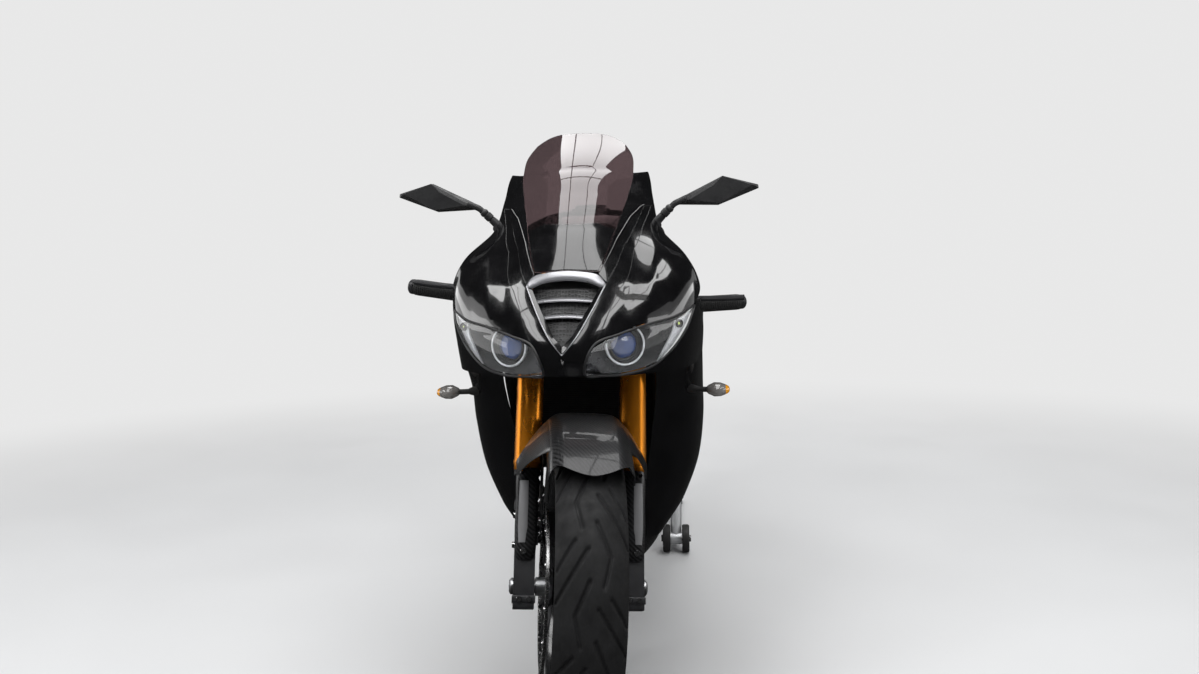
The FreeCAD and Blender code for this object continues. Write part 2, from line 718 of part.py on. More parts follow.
HEAD_LOW = head_point(LOWER_YOKE_Z + LOWER_YOKE_T + HEAD_GAP)
HEAD_HIGH = head_point(UPPER_YOKE_Z - HEAD_GAP)
head_tube = bar(HEAD_LOW, HEAD_HIGH, HEAD_TUBE_R, DISC_SIDES)
spar = beam([(30, 258, 768, 34, 70), (128, 400, 750, 34, 90), (146, 520, 716, 32, 96), (146, 690, 620, 32, 96),
             (144, 775, 520, 32, 84), (142, PIVOT_Y, PIVOT_Z - 110, 32, 70)])
subframe_rail = beam([(96, 680, 660, 22, 40), (90, 900, 814, 20, 26), (80, 1180, 872, 18, 24),
                      (74, 1330, 900, 16, 20)])
cross_tube = bar(Vector(-130, PIVOT_Y - 30, PIVOT_Z - 92), Vector(130, PIVOT_Y - 30, PIVOT_Z - 92), 14.0)
upper_cross = bar(Vector(-132, 690, 654), Vector(132, 690, 654), 14.0)
shock_tongue = prism_x([(690, 646), (864, 640), (864, 662), (690, 668)], -14, 14)
fairing_stay = bent_tube([HEAD_LOW + FORK_UP * 60.0, Vector(0, 138, 806), Vector(0, 152, 915)], 9.0, 24.0)
engine_lug = prism_x([(470, 660), (520, 660), (520, 700), (470, 700)], ENGINE_HALF, ENGINE_HALF + 12)
tank_rest = prism_x([(440, 740), (480, 740), (480, TANK_BASE - 0.3), (440, TANK_BASE - 0.3)], 118, 140)
prop_pivot = Vector(PROP_X, PROP_Y, PROP_Z)
prop_axis = Vector(math.cos(math.radians(PROP_TILT)), 0, math.sin(math.radians(PROP_TILT)))
prop_lug = fused([
    prism_x([(PROP_Y - 16, 380), (PROP_Y + 16, 380), (PROP_Y + 16, PROP_Z - 16), (PROP_Y - 16, PROP_Z - 16)],
            112, 124),
    bar(prop_pivot - prop_axis * 36.0, prop_pivot - prop_axis * 18.0, 15.0)])
pivot_pin = bar(PIVOT - X_AXIS * PIVOT_PIN_HALF, PIVOT + X_AXIS * PIVOT_PIN_HALF, PIVOT_PIN_R, DISC_SIDES)
head_bore = rod(HEAD_LOW - FORK_UP * 20.0, HEAD_HIGH + FORK_UP * 20.0, STEM_R + RUNNING)
main_frame = fused([head_tube, spar, mirrored(spar), cross_tube, upper_cross, pivot_pin, shock_tongue,
                    fairing_stay, engine_lug, mirrored(engine_lug), tank_rest, mirrored(tank_rest),
                    prop_lug]).cut(head_bore)
subframe = pair(subframe_rail.cut(main_frame))

instruments = instrument_case.cut(main_frame)

# Engine: one plain block with the crankcase, cylinders and gearbox
engine_wide = prism_x([(425, 300), (640, 300), (640, 560), (600, 640), (480, 700), (425, 640), (412, 420)],
                      -ENGINE_HALF, ENGINE_HALF)
gearbox = prism_x([(640, 330), (750, 360), (750, 560), (640, 560)], -88, 88)
engine = fused([engine_wide, gearbox])

radiator_core = prism_x([(318, 700), (338, 700), (360, 450), (340, 450)], -158, 158)
radiator_lug = prism_x([(322, 698), (338, 698), (338, 735), (322, 735)], 66, 84)
radiator = fused([radiator_core, radiator_lug, mirrored(radiator_lug)]).cut(main_frame)

# Exhaust: three header pipes, a collector and the pipe up to the silencer under the seat.
# The silencer's columns: x, y, z, width, height.
HEADER_R = 18.0
COLLECTOR_R = 40.0
LINK_R = 24.0
SILENCER_Y = 1180.0
SILENCER_Z = 824.0
LINK_RUN = [(0, 640, 240), (0, 700, 245), (-72, 860, 330), (-72, 930, 560), (0, 1080, 770)]
SILENCER = [(0, SILENCER_Y, SILENCER_Z, 90, 56), (0, 1240, 850, 112, 76),
            (0, 1470, 914, 108, 72), (0, 1566, 936, 84, 50)]


def header(x):
    points = [Vector(x, 424, 566), Vector(x, 384, 548), Vector(x * 0.6, 388, 262), Vector(x * 0.5, 480, 240)]
    return bent_tube(points, HEADER_R, HEADER_R + 1.0)


collector = bar(Vector(0, 470, 240), Vector(*LINK_RUN[0]), COLLECTOR_R, TUBE_SIDES)
link_end = Vector(0, SILENCER_Y + 2.0, SILENCER_Z)
link_pipe = bent_tube([Vector(*point) for point in LINK_RUN] + [link_end], LINK_R, COLLECTOR_R)
silencer = beam(SILENCER)
exhaust_headers = fused([header(-90), header(0), header(90), collector, link_pipe]).cut(engine).cut(silencer)

# Fuel tank. Columns: y, half width, base height, side height, top height.
TANK_STATIONS = [(348, 90, 880, 900, 950), (430, 148, TANK_BASE, 930, 1004),
                 (560, 172, TANK_BASE, 930, TANK_TOP),
                 (700, 118, 830, 900, 962), (790, 70, 850, 872, 890)]


def tank_ring(y, half, base, side, top):
    crown = through([Vector(half, y, side), Vector(0, y, top), Vector(-half, y, side)], TANK_RUNS)
    return [Vector(-half, y, base), Vector(half, y, base)] + crown


tank_body = skin([tank_ring(*station) for station in TANK_STATIONS])
CAP_SEAT = TANK_TOP + 3.0
filler_boss = bar(Vector(0, CAP_Y, TANK_TOP - 60), Vector(0, CAP_Y, CAP_SEAT), CAP_R + 8.0, DISC_SIDES)
filler_hole = rod(Vector(0, CAP_Y, CAP_SEAT - FILLER_DEPTH), Vector(0, CAP_Y, CAP_SEAT + 1), FILLER_R)
fuel_tank = tank_body.fuse(filler_boss).cut(filler_hole)
CAP_HINGE = Vector(0, CAP_Y - CAP_R - 1.0, CAP_SEAT + SEAT_GAP + CAP_T / 2.0)
CAP_LIFT = Vector(0, 0, CAP_T)
cap_low = Vector(0, CAP_Y, CAP_SEAT + SEAT_GAP)
hinge_half = X_AXIS * 9.0
fuel_cap = bar(cap_low, cap_low + CAP_LIFT, CAP_R, DISC_SIDES)
fuel_cap = fuel_cap.fuse(rod(CAP_HINGE - hinge_half, CAP_HINGE + hinge_half, CAP_T / 2.0))


# Seats and tail. Columns: y, half width, underside, top.
RIDER_SEAT = [(792, 72, 846, 886), (900, 122, 846, 884), (1040, 138, 858, 900), (1062, 124, 927, 946)]
PASSENGER_SEAT = [(1070, 96, 948.3, 984), (1200, 98, 970.3, 1010), (1340, 62, 997.1, 1030)]
RIDER_EDGE = 14.0
PASSENGER_EDGE = 12.0


def pad_ring(y, half, low, high, drop):
    """Section of a pad whose upper edges are cut off by the drop."""
    side = [(half, low), (half, high - drop), (half * 0.6, high)]
    return [Vector(x, y, z) for x, z in side + [(-x, z) for x, z in reversed(side)]]


rider_seat = skin([pad_ring(*station, RIDER_EDGE) for station in RIDER_SEAT])
passenger_seat = skin([pad_ring(*station, PASSENGER_EDGE) for station in PASSENGER_SEAT])

# Tail cowl. Columns: y, half width, underside height, top height.
TAIL_STATIONS = [(900, 128, 790, 845.7), (1040, 130, 797, 857.7), (1070, 130, 800, 948), (1200, 122, 820, 970),
                 (1420, 92, 868, 1012), (1580, 66, 896, 1000)]


def tail_ring(y, half, low, high, inset):
    outline = [(half * 0.8, low), (half, (low + high) / 2.0), (half * 0.7, high)]
    outline = [(x - inset, z - (inset * 3.0 if z == low else inset if z == high else 0.0)) for x, z in outline]
    outline = outline + [(-x, z) for x, z in reversed(outline)]
    return [Vector(x, y, z) for x, z in outline]


tail_outer = skin([tail_ring(*station, 0.0) for station in TAIL_STATIONS])
tail_inner = skin([tail_ring(*station, SKIN) for station in TAIL_STATIONS])
tail_fairing = tail_outer.cut(tail_inner).cut(main_frame).cut(subframe)
tail_lamp = prism_x([(1580, 950), (1600, 950), (1596, 990), (1580, 998)], -56, 56)

# Number plate bracket
plate_arm = beam([(0, 1536, 888, 128, 10), (0, 1600, 770, 60, 10), (0, 1650, 720, 60, 10)])
plate_panel = Part.makeBox(180, PLATE_T_BACK, 150, Vector(-90, PLATE_BACK - PLATE_T_BACK, 580))
plate_holder = plate_arm.fuse(plate_panel).cut(tail_fairing).cut(silencer)
for side in (-1, 1):
    hole_front = Vector(side * PLATE_HOLE_SPACING / 2.0, PLATE_BACK - 20.0, PLATE_HOLE_Z)
    plate_holder = plate_holder.cut(rod(hole_front, hole_front + Y_AXIS * 30.0, PLATE_HOLE_R))
turn_signals = Part.makeCompound([pair(front_signal()), pair(rear_signal()).cut(plate_holder)])


# Foot controls
def foot_control():
    plate = prism_x([(800, 470), (850, 500), (930, 430), (900, 360), (860, 350)], 160.3, 168.3)
    peg = bar(Vector(168, 905, 392), Vector(244, 905, 386), 11.0)
    lever = prism_x([(880, 376), (892, 388), (784, 362), (784, 350)], 168.3, 178.0)
    toe = bar(Vector(176, 790, 357), Vector(230, 790, 352), 7.0)
    return fused([plate, peg, lever, toe])


foot_controls = pair(foot_control())

# Swingarm, with the spools that the stand lifts by
arm_mid_x = ARM_IN + ARM_W / 2.0
arm = beam([(arm_mid_x - 6, PIVOT_Y + 52, PIVOT_Z - 6, ARM_W - 6, 66), (arm_mid_x, 1010, 424, ARM_W, 80),
            (arm_mid_x, 1240, 384, ARM_W, 58), (arm_mid_x, WHEELBASE + 60, REAR_AXLE_Z, ARM_W, 46)])
bridge = prism_x([(962, 394), (1048, 388), (1048, 444), (962, 452)], -ARM_IN - 4, ARM_IN + 4)
shock_link = prism_x([(846, 344), (880, 344), (970, 400), (970, 430), (846, 372)], -14, 14)
spool_foot = Vector(ARM_IN + ARM_W, SPOOL_Y, SPOOL_Z)
spool = bar(spool_foot, spool_foot + X_AXIS * SPOOL_L, SPOOL_R)
pivot_boss = bar(Vector(99, PIVOT_Y, PIVOT_Z), Vector(ARM_IN + 2.5, PIVOT_Y, PIVOT_Z), 22.0)
pivot_web = beam([(113, PIVOT_Y, PIVOT_Z, 24, 44), (116, PIVOT_Y + 90, PIVOT_Z - 8, 24, 54)])
swingarm = fused([arm, mirrored(arm), bridge, shock_link, spool, mirrored(spool), pivot_boss,
                  mirrored(pivot_boss), pivot_web, mirrored(pivot_web)])
axle_cut = flat_hole(REAR_AXLE - X_AXIS * REAR_AXLE_L, REAR_AXLE + X_AXIS * REAR_AXLE_L, REAR_AXLE_R)
pin_cut = flat_hole(PIVOT - X_AXIS * PIVOT_PIN_HALF * 2.0, PIVOT + X_AXIS * PIVOT_PIN_HALF * 2.0, PIVOT_PIN_R)
swingarm = swingarm.cut(axle_cut).cut(pin_cut)
shock_absorber = fused([bar(Vector(0, 850, 645), Vector(0, 862, 366), 12.0),
                        bar(Vector(0, 853, 580), Vector(0, 860, 410), 34.0, TUBE_SIDES)])
shock_absorber = shock_absorber.cut(main_frame).cut(swingarm)
REAR_CALIPER = [(1300, 424), (1350, 436), (1362, 484), (1316, 476)]
REAR_BRACKET = [(1296, 380), (1344, 380), (1352, 450), (1300, 440)]
caliper_out = REAR_DISC_X - 30.0
caliper_block = prism_x(REAR_CALIPER, caliper_out, REAR_DISC_X + 24.0)
caliper_bracket = prism_x(REAR_BRACKET, caliper_out, caliper_out + 10.0)
rear_caliper = caliper_block.fuse(caliper_bracket).cut(swingarm)
rear_caliper = rear_caliper.cut(disc_slot(REAR_DISC_X, REAR_DISC_R, REAR_AXLE))


# Chain: waisted side plates round both sprockets, joined by rollers that lie in the sprockets' valleys
def chain_path():
    """Stations of the loop as (middle, outward, half height), and the pins whose rollers are drawn."""
    rear_r = PITCH / (2.0 * math.sin(math.pi / REAR_TEETH))
    front_r = PITCH / (2.0 * math.sin(math.pi / FRONT_TEETH))
    front = Vector(0, GEARBOX_Y, GEARBOX_Z)
    run = REAR_AXLE - front
    tilt = math.atan2(run.z, run.y)
    lean = math.asin((rear_r - front_r) / run.Length)
    # Directions from each centre to its tangent points on the upper and lower run.
    up = tilt + math.pi / 2.0 + lean
    down = tilt - math.pi / 2.0 - lean
    stations = []
    rollers = []

    def out(angle):
        return Vector(0, math.cos(angle), math.sin(angle))

    def straight(start, end, angle):
        count = int((end - start).Length / PITCH)
        step = (end - start) * (1.0 / count)
        for index in range(count):
            stations.append((start + step * index, out(angle), PLATE_H / 2.0))
            stations.append((start + step * (index + 0.5), out(angle), PLATE_WAIST / 2.0))
        rollers.extend(start + step * index for index in range(ROLLER_EVERY, count - 2, ROLLER_EVERY))

    def wrap(centre, radius, first, last, teeth):
        count = int((first - last) / (2.0 * math.pi / teeth))
        for index in range(count):
            angle = first - (first - last) * index / count
            stations.append((centre + out(angle) * radius, out(angle), PLATE_H / 2.0))

    straight(front + out(up) * front_r, REAR_AXLE + out(up) * rear_r, up)
    wrap(REAR_AXLE, rear_r, up, down, REAR_TEETH)
    straight(REAR_AXLE + out(down) * rear_r, front + out(down) * front_r, down)
    wrap(front, front_r, down, up - 2.0 * math.pi, FRONT_TEETH)
    for index in range(FRONT_TEETH):
        valley = 2.0 * math.pi * (index + 0.5) / FRONT_TEETH
        if math.cos(valley - tilt) < -0.35:
            rollers.append(front + out(valley) * front_r)
    return stations, rollers


def chain_row(stations, x_low):
    """One row of side plates."""
    outer = polygon_face([X_AXIS * x_low + middle + out * half for middle, out, half in stations])
    inner = polygon_face([X_AXIS * x_low + middle - out * half for middle, out, half in stations])
    return outer.cut(inner).extrude(X_AXIS * PLATE_T)


def chain_loop():
    """Waisted outer plates, plainer inner ones and the rollers between them."""
    stations, rollers = chain_path()
    wide = [station for station in stations if station[2] == PLATE_H / 2.0]
    half_gap = PLATE_GAP / 2.0
    reach = X_AXIS * (half_gap + 1.0)
    pieces = [chain_row(stations, CHAIN_X + half_gap), chain_row(wide[::2], CHAIN_X - half_gap - PLATE_T)]
    for roller in rollers:
        middle = roller + X_AXIS * CHAIN_X
        pieces.append(bar(middle - reach, middle + reach, ROLLER_R, ROLLER_SIDES))
    return fused(pieces)


front_sprocket = sprocket(FRONT_TEETH, CHAIN_X, Vector(0, GEARBOX_Y, GEARBOX_Z), SHAFT_R)
shaft_end = CHAIN_X + SPROCKET_T
output_shaft = bar(Vector(88, GEARBOX_Y, GEARBOX_Z), Vector(shaft_end, GEARBOX_Y, GEARBOX_Z), SHAFT_R, DISC_SIDES)
chain = Part.makeCompound([chain_loop(), front_sprocket.fuse(output_shaft)])

# Hugger over the rear tyre, carried by the swingarm. Angles are ahead of straight up.
HUGGER_START = 28.0
HUGGER_SWEEP = 56.0
HUGGER_TAB = 74.6
hugger_in = REAR_TYRE_R + HUGGER_GAP
hugger_profile = [(-92, hugger_in + 3), (-60, hugger_in + 13), (60, hugger_in + 13), (92, hugger_in + 3),
                  (92, hugger_in), (60, hugger_in + 9), (-60, hugger_in + 9), (-92, hugger_in)]
hugger_tab = Part.makeBox(ARM_IN - 88, 26, 6, REAR_AXLE + Vector(88, -13, hugger_in + 3))
hugger_tab.rotate(REAR_AXLE, X_AXIS, HUGGER_TAB)
rear_hugger = fused([ring_x(hugger_profile, REAR_AXLE, HUGGER_SIDES, HUGGER_START, HUGGER_SWEEP), hugger_tab,
                     mirrored(hugger_tab)])

# Side stand, folded back along the belly
prop_eye = rod(prop_pivot - prop_axis * 17.7, prop_pivot + prop_axis * 14.0, 15.0)
prop_leg = bar(prop_pivot, prop_pivot + Vector(10, PROP_L, 12), PROP_R)
prop_foot = Part.makeBox(36, 44, 6, Vector(PROP_X - 6, PROP_Y + PROP_L - 24, PROP_Z - 2))
side_stand = fused([prop_eye, prop_leg, prop_foot])

# Paddock stand


def stand_side():
    wheel_axle = Vector(STAND_TUBE_X, STAND_WHEEL_Y, STAND_WHEEL_R)
    pad_z = SPOOL_Z - SPOOL_R - STAND_PAD_T
    upright = bar(Vector(STAND_TUBE_X, SPOOL_Y, pad_z), wheel_axle, STAND_TUBE_R)
    lower = bar(wheel_axle + Z_AXIS * 4.0, Vector(STAND_TUBE_X, STAND_BAR_Y, STAND_BAR_Z), STAND_TUBE_R)
    pad = Part.makeBox(34, 44, STAND_PAD_T, Vector(STAND_TUBE_X - 17, SPOOL_Y - 22, pad_z))
    half_axle = X_AXIS * (STAND_TUBE_R + STAND_WHEEL_GAP + STAND_WHEEL_W + 2.0)
    axle = rod(wheel_axle - half_axle, wheel_axle + half_axle, STAND_AXLE_R)
    foot = Part.makeBox(40, 30, STAND_BAR_Z, Vector(STAND_TUBE_X - 20, STAND_REAR - 40, 0))
    return fused([upright, lower, pad, axle, foot])


STAND_BAR_Y = STAND_REAR - STAND_TUBE_R
STAND_BAR_Z = STAND_FOOT_H + STAND_TUBE_R
cross_bar = bar(Vector(-STAND_TUBE_X, STAND_BAR_Y, STAND_BAR_Z), Vector(STAND_TUBE_X, STAND_BAR_Y, STAND_BAR_Z),
                STAND_TUBE_R)
paddock_stand = fused([stand_side(), mirrored(stand_side()), cross_bar])


def stand_wheel(x_low):
    centre = Vector(x_low, STAND_WHEEL_Y, STAND_WHEEL_R)
    roller = bar(centre, centre + X_AXIS * STAND_WHEEL_W, STAND_WHEEL_R, DISC_SIDES)
    return roller.cut(rod(centre, centre + X_AXIS * STAND_WHEEL_W, STAND_AXLE_R + RUNNING))


wheel_room = STAND_TUBE_R + STAND_WHEEL_GAP
stand_wheels_left = Part.makeCompound([stand_wheel(STAND_TUBE_X - wheel_room - STAND_WHEEL_W),
                                       stand_wheel(STAND_TUBE_X + wheel_room)])
stand_wheels_right = mirrored(stand_wheels_left)

NODES = {
    "front_tyre": front_tyre, "front_wheel": front_wheel, "front_discs": front_discs,
    "front_axle": front_axle, "fork_outer_tubes": fork_outer_tubes, "fork_legs": fork_legs,
    "front_calipers": front_calipers, "front_mudguard": front_mudguard, "yokes": yokes,
    "handlebars": handlebars, "grips": grips,
    "nose_fairing": nose_fairing, "grille": grille, "headlights": headlights, "screen": screen,
    "side_fairing_left": side_fairing_left, "side_fairing_right": side_fairing_right,
    "belly_fairing": belly_fairing, "mirrors": mirrors, "turn_signals": turn_signals,
    "instruments": instruments, "main_frame": main_frame, "subframe": subframe, "engine": engine,
    "radiator": radiator,
    "exhaust_headers": exhaust_headers, "silencer": silencer, "fuel_tank": fuel_tank, "fuel_cap": fuel_cap,
    "rider_seat": rider_seat, "passenger_seat": passenger_seat, "tail_fairing": tail_fairing,
    "tail_lamp": tail_lamp, "plate_holder": plate_holder, "foot_controls": foot_controls,
    "swingarm": swingarm, "rear_axle": rear_axle, "shock_absorber": shock_absorber,
    "rear_caliper": rear_caliper, "chain": chain, "rear_hugger": rear_hugger,
    "rear_tyre": rear_tyre, "rear_wheel": rear_wheel, "rear_disc_sprocket": rear_disc_sprocket,
    "side_stand": side_stand, "paddock_stand": paddock_stand,
    "stand_wheels_left": stand_wheels_left, "stand_wheels_right": stand_wheels_right,
}

for name, shape in NODES.items():
    placed = shape.copy()
    placed.translate(Vector(0, -ORIGIN_Y, 0))
    placed.exportStep("parts/" + name + ".step")
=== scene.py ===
import bpy
import bmesh
import json
import math
import numpy as np
from mathutils import Matrix, Vector

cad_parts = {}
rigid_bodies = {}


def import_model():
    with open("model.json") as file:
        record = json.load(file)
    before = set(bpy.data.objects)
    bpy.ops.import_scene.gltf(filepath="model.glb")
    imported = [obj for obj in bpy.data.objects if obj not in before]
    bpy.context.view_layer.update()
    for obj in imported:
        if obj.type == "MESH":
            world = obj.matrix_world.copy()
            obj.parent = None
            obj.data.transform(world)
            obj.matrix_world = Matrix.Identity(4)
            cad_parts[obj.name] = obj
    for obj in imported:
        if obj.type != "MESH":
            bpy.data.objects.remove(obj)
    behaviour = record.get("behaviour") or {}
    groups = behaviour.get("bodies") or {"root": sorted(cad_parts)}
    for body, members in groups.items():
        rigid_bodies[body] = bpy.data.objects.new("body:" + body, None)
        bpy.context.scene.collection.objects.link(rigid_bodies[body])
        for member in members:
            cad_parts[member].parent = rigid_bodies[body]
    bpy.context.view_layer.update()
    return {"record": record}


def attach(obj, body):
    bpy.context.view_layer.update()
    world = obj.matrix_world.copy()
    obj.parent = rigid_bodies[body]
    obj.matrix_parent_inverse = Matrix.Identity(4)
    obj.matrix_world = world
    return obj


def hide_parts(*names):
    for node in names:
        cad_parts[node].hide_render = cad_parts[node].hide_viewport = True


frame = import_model()

# Shapes are written in the source's own millimetres: origin on the floor under the front axle, -Y ahead,
# +Z up, +X to the rider's left. BIKE takes them to the row frame in metres.
MM = 0.001
ORIGIN_Y = 750.0
WHEELBASE = 1395.0
FRONT_AXLE_Z = 300.0
REAR_AXLE_Z = 360.0
RAKE = math.radians(22.5)
TRAIL = 89.0
STEER_REST = math.radians(10.7)
YOKE_OFFSET = (FRONT_AXLE_Z * math.tan(RAKE) - TRAIL) * math.cos(RAKE)

BIKE = Matrix.Scale(MM, 4) @ Matrix.Translation((0, -ORIGIN_Y, 0))
FORK_UP = Vector((0, math.sin(RAKE), math.cos(RAKE)))
STEER_FOOT = Vector((0, -TRAIL, 0))
STEER = Matrix.Translation(STEER_FOOT) @ Matrix.Rotation(STEER_REST, 4, FORK_UP) @ Matrix.Translation(-STEER_FOOT)
FRONT_WHEEL = BIKE @ STEER @ Matrix.Translation((0, 0, FRONT_AXLE_Z))
FORK = FRONT_WHEEL @ Matrix.Rotation(-RAKE, 4, "X")
REAR_WHEEL = BIKE @ Matrix.Translation((0, WHEELBASE, REAR_AXLE_Z))


# ---- finishes

def finish(name, color, rough, metal=0.0, blotch=0.12, blotch_size=0.06, grain=0.0, grain_size=0.0015,
           rough_swing=0.25, stretch=None, **sockets):
    """Principled finish with uneven colour, uneven gloss and a fine surface grain."""
    made = bpy.data.materials.new(name)
    made.use_nodes = True
    tree = made.node_tree
    shader = tree.nodes["Principled BSDF"]
    shader.inputs["Metallic"].default_value = metal
    for socket, value in sockets.items():
        shader.inputs[socket.replace("_", " ")].default_value = value
    where = tree.nodes.new("ShaderNodeTexCoord").outputs["Object"]
    if stretch:
        mapping = tree.nodes.new("ShaderNodeMapping")
        mapping.inputs["Scale"].default_value = stretch
        tree.links.new(where, mapping.inputs["Vector"])
        where = mapping.outputs["Vector"]
    cloud = noise(tree, where, 1.0 / blotch_size, 4)
    dark = [c * (1.0 - blotch) for c in color]
    light = [min(1.0, c * (1.0 + blotch)) for c in color]
    tint = ramp(tree, cloud, dark, light, 0.3, 0.7)
    tree.links.new(tint, shader.inputs["Base Color"])
    gloss = ramp(tree, noise(tree, where, 2.3 / blotch_size, 3), [rough * (1 - rough_swing)] * 3,
                 [min(1.0, rough * (1 + rough_swing))] * 3, 0.3, 0.7)
    tree.links.new(gloss, shader.inputs["Roughness"])
    if grain:
        height = noise(tree, where, 1.0 / grain_size, 2)
        bump(tree, shader, height, grain)
    return made


def noise(tree, where, scale, detail):
    node = tree.nodes.new("ShaderNodeTexNoise")
    node.inputs["Scale"].default_value = scale
    node.inputs["Detail"].default_value = detail
    tree.links.new(where, node.inputs["Vector"])
    return node.outputs["Fac"]


def ramp(tree, fac, low, high, start, end):
    node = tree.nodes.new("ShaderNodeValToRGB")
    first, last = node.color_ramp.elements
    first.position, last.position = start, end
    first.color, last.color = (*low, 1.0), (*high, 1.0)
    tree.links.new(fac, node.inputs["Fac"])
    return node.outputs["Color"]


def bump(tree, shader, height, distance, normal=None):
    node = tree.nodes.new("ShaderNodeBump")
    node.inputs["Distance"].default_value = distance
    tree.links.new(height, node.inputs["Height"])
    if normal:
        tree.links.new(normal, node.inputs["Normal"])
    tree.links.new(node.outputs["Normal"], shader.inputs["Normal"])
    return node.outputs["Normal"]


def maths(tree, operation, a, b=None, c=None, clamp=False):
    node = tree.nodes.new("ShaderNodeMath")
    node.operation = operation
    node.use_clamp = clamp
    for socket, value in zip(node.inputs, (a, b, c)):
        if value is None:
            continue
        if isinstance(value, (int, float)):
            socket.default_value = value
        else:
            tree.links.new(value, socket)
    return node.outputs[0]


GLOSS = dict(Coat_Weight=1.0, Coat_Roughness=0.015, Specular_IOR_Level=0.3)
FINISH = {}


def add_finish(name, *args, **kwargs):
    FINISH[name] = finish(name, *args, **kwargs)


add_finish("gloss_black", (0.004, 0.004, 0.0045), 0.16, blotch=0.3, rough_swing=0.4, **GLOSS)
add_finish("matte_plastic", (0.022, 0.022, 0.023), 0.5, grain=0.00006, grain_size=0.0008)
add_finish("inner_black", (0.008, 0.008, 0.008), 0.7, grain=0.00005, grain_size=0.001)
add_finish("cast_black", (0.022, 0.022, 0.024), 0.4, grain=0.00005, grain_size=0.0009, Specular_IOR_Level=0.5)
add_finish("wheel_black", (0.012, 0.012, 0.013), 0.22, Coat_Weight=0.6, Coat_Roughness=0.1)
add_finish("bare_aluminium", (0.56, 0.57, 0.58), 0.38, 1.0, grain=0.00004, grain_size=0.0007)
add_finish("steel", (0.46, 0.46, 0.46), 0.3, 1.0, stretch=(40, 1, 1), blotch=0.08)
add_finish("bright_steel", (0.72, 0.72, 0.73), 0.15, 1.0, blotch=0.06)
add_finish("frame_grey", (0.045, 0.045, 0.05), 0.42, 0.3, grain=0.00004)
add_finish("grille_silver", (0.40, 0.40, 0.42), 0.32, 0.6, blotch=0.06, grain=0.00001)
add_finish("fork_gold", (0.74, 0.25, 0.014), 0.3, 0.8, blotch=0.06, blotch_size=0.2)
add_finish("rubber", (0.018, 0.018, 0.018), 0.7, grain=0.00005)
add_finish("lamp_red", (0.35, 0.008, 0.01), 0.12, Coat_Weight=1.0)
add_finish("amber", (0.85, 0.35, 0.015), 0.2, Coat_Weight=1.0)
add_finish("signal_smoke", (0.2, 0.19, 0.18), 0.15, Coat_Weight=1.0)
add_finish("stand_paint", (0.62, 0.63, 0.64), 0.35, 0.4, grain=0.00003)
add_finish("exhaust_steel", (0.4, 0.37, 0.34), 0.28, 1.0, blotch=0.3, blotch_size=0.12)
add_finish("screen_tint", (0.115, 0.078, 0.082), 0.03, Transmission_Weight=1.0, IOR=1.3, blotch=0.02, Coat_Weight=1.0,
           Coat_Roughness=0.01)
add_finish("lens_clear", (0.93, 0.94, 0.95), 0.02, Transmission_Weight=1.0, IOR=1.25, blotch=0.01, Coat_Weight=1.0,
           Coat_Roughness=0.01)


# ---- mesh code. A shape is a pair: points as rows of x, y, z, and faces as lists of indices.

def joined(*shapes):
    points, faces, start = [], [], 0
    for verts, polys in shapes:
        points.append(np.asarray(verts, float))
        faces += [[i + start for i in poly] for poly in polys]
        start += len(verts)
    return np.vstack(points), faces


def placed(shape, matrix):
    m = np.array(matrix)
    return np.asarray(shape[0], float) @ m[:3, :3].T + m[:3, 3], shape[1]


def mirrored(shape):
    return np.asarray(shape[0], float) * (-1, 1, 1), [poly[::-1] for poly in shape[1]]


def both(shape):
    return joined(shape, mirrored(shape))


SIDES = (("left", lambda shape: shape), ("right", mirrored))


def turns(n, shift=0):
    """Evenly spread angles round a circle; a shift of 0.5 starts half a step on."""
    return [2 * math.pi * (k + shift) / n for k in range(n)]


def rect(low, high, bottom, top):
    return [(low, bottom), (high, bottom), (high, top), (low, top)]


def spline(points, count, closed=False):
    """Evenly spread points on a smooth curve through the given ones."""
    p = np.asarray(points, float)
    if closed:
        p = np.vstack([p[-1], p, p[0], p[1]])
    else:
        p = np.vstack([2 * p[0] - p[1], p, 2 * p[-1] - p[-2]])
    parts = len(p) - 3
    t = np.linspace(0, parts, parts * 24 + 1)
    i = np.minimum(t.astype(int), parts - 1)
    u = (t - i)[:, None]
    a, b, c, d = p[i], p[i + 1], p[i + 2], p[i + 3]
    fine = 0.5 * (2 * b + (c - a) * u + (2 * a - 5 * b + 4 * c - d) * u ** 2 + (3 * b - a - 3 * c + d) * u ** 3)
    return even(fine, count, closed)


def even(points, count, closed=False):
    """Evenly spread points along a run of straight pieces."""
    p = np.asarray(points, float)
    run = np.concatenate([[0], np.cumsum(np.linalg.norm(np.diff(p, axis=0), axis=1))])
    at = np.linspace(0, run[-1], count + 1)[:-1] if closed else np.linspace(0, run[-1], count)
    return np.stack([np.interp(at, run, p[:, k]) for k in range(p.shape[1])], axis=1)


def loft(rings, closed=True, caps=True):
    """Skin over rings of equally many points."""
    rings = [np.asarray(ring, float) for ring in rings]
    n = len(rings[0])
    faces = []
    for r in range(len(rings) - 1):
        for k in range(n if closed else n - 1):
            a, b = r * n + k, r * n + (k + 1) % n
            faces.append([a, b, b + n, a + n])
    if caps:
        faces.append(list(range(n))[::-1])
        faces.append([(len(rings) - 1) * n + k for k in range(n)])
    return np.vstack(rings), faces


def turned_faces(n, m, closed=True):
    """Faces round an axis between n outlines of m points each."""
    faces = []
    for j in range(n):
        here, following = j * m, (j + 1) % n * m
        for k in range(m if closed else m - 1):
            q = (k + 1) % m
            faces.append([here + k, here + q, following + q, following + k])
    return faces


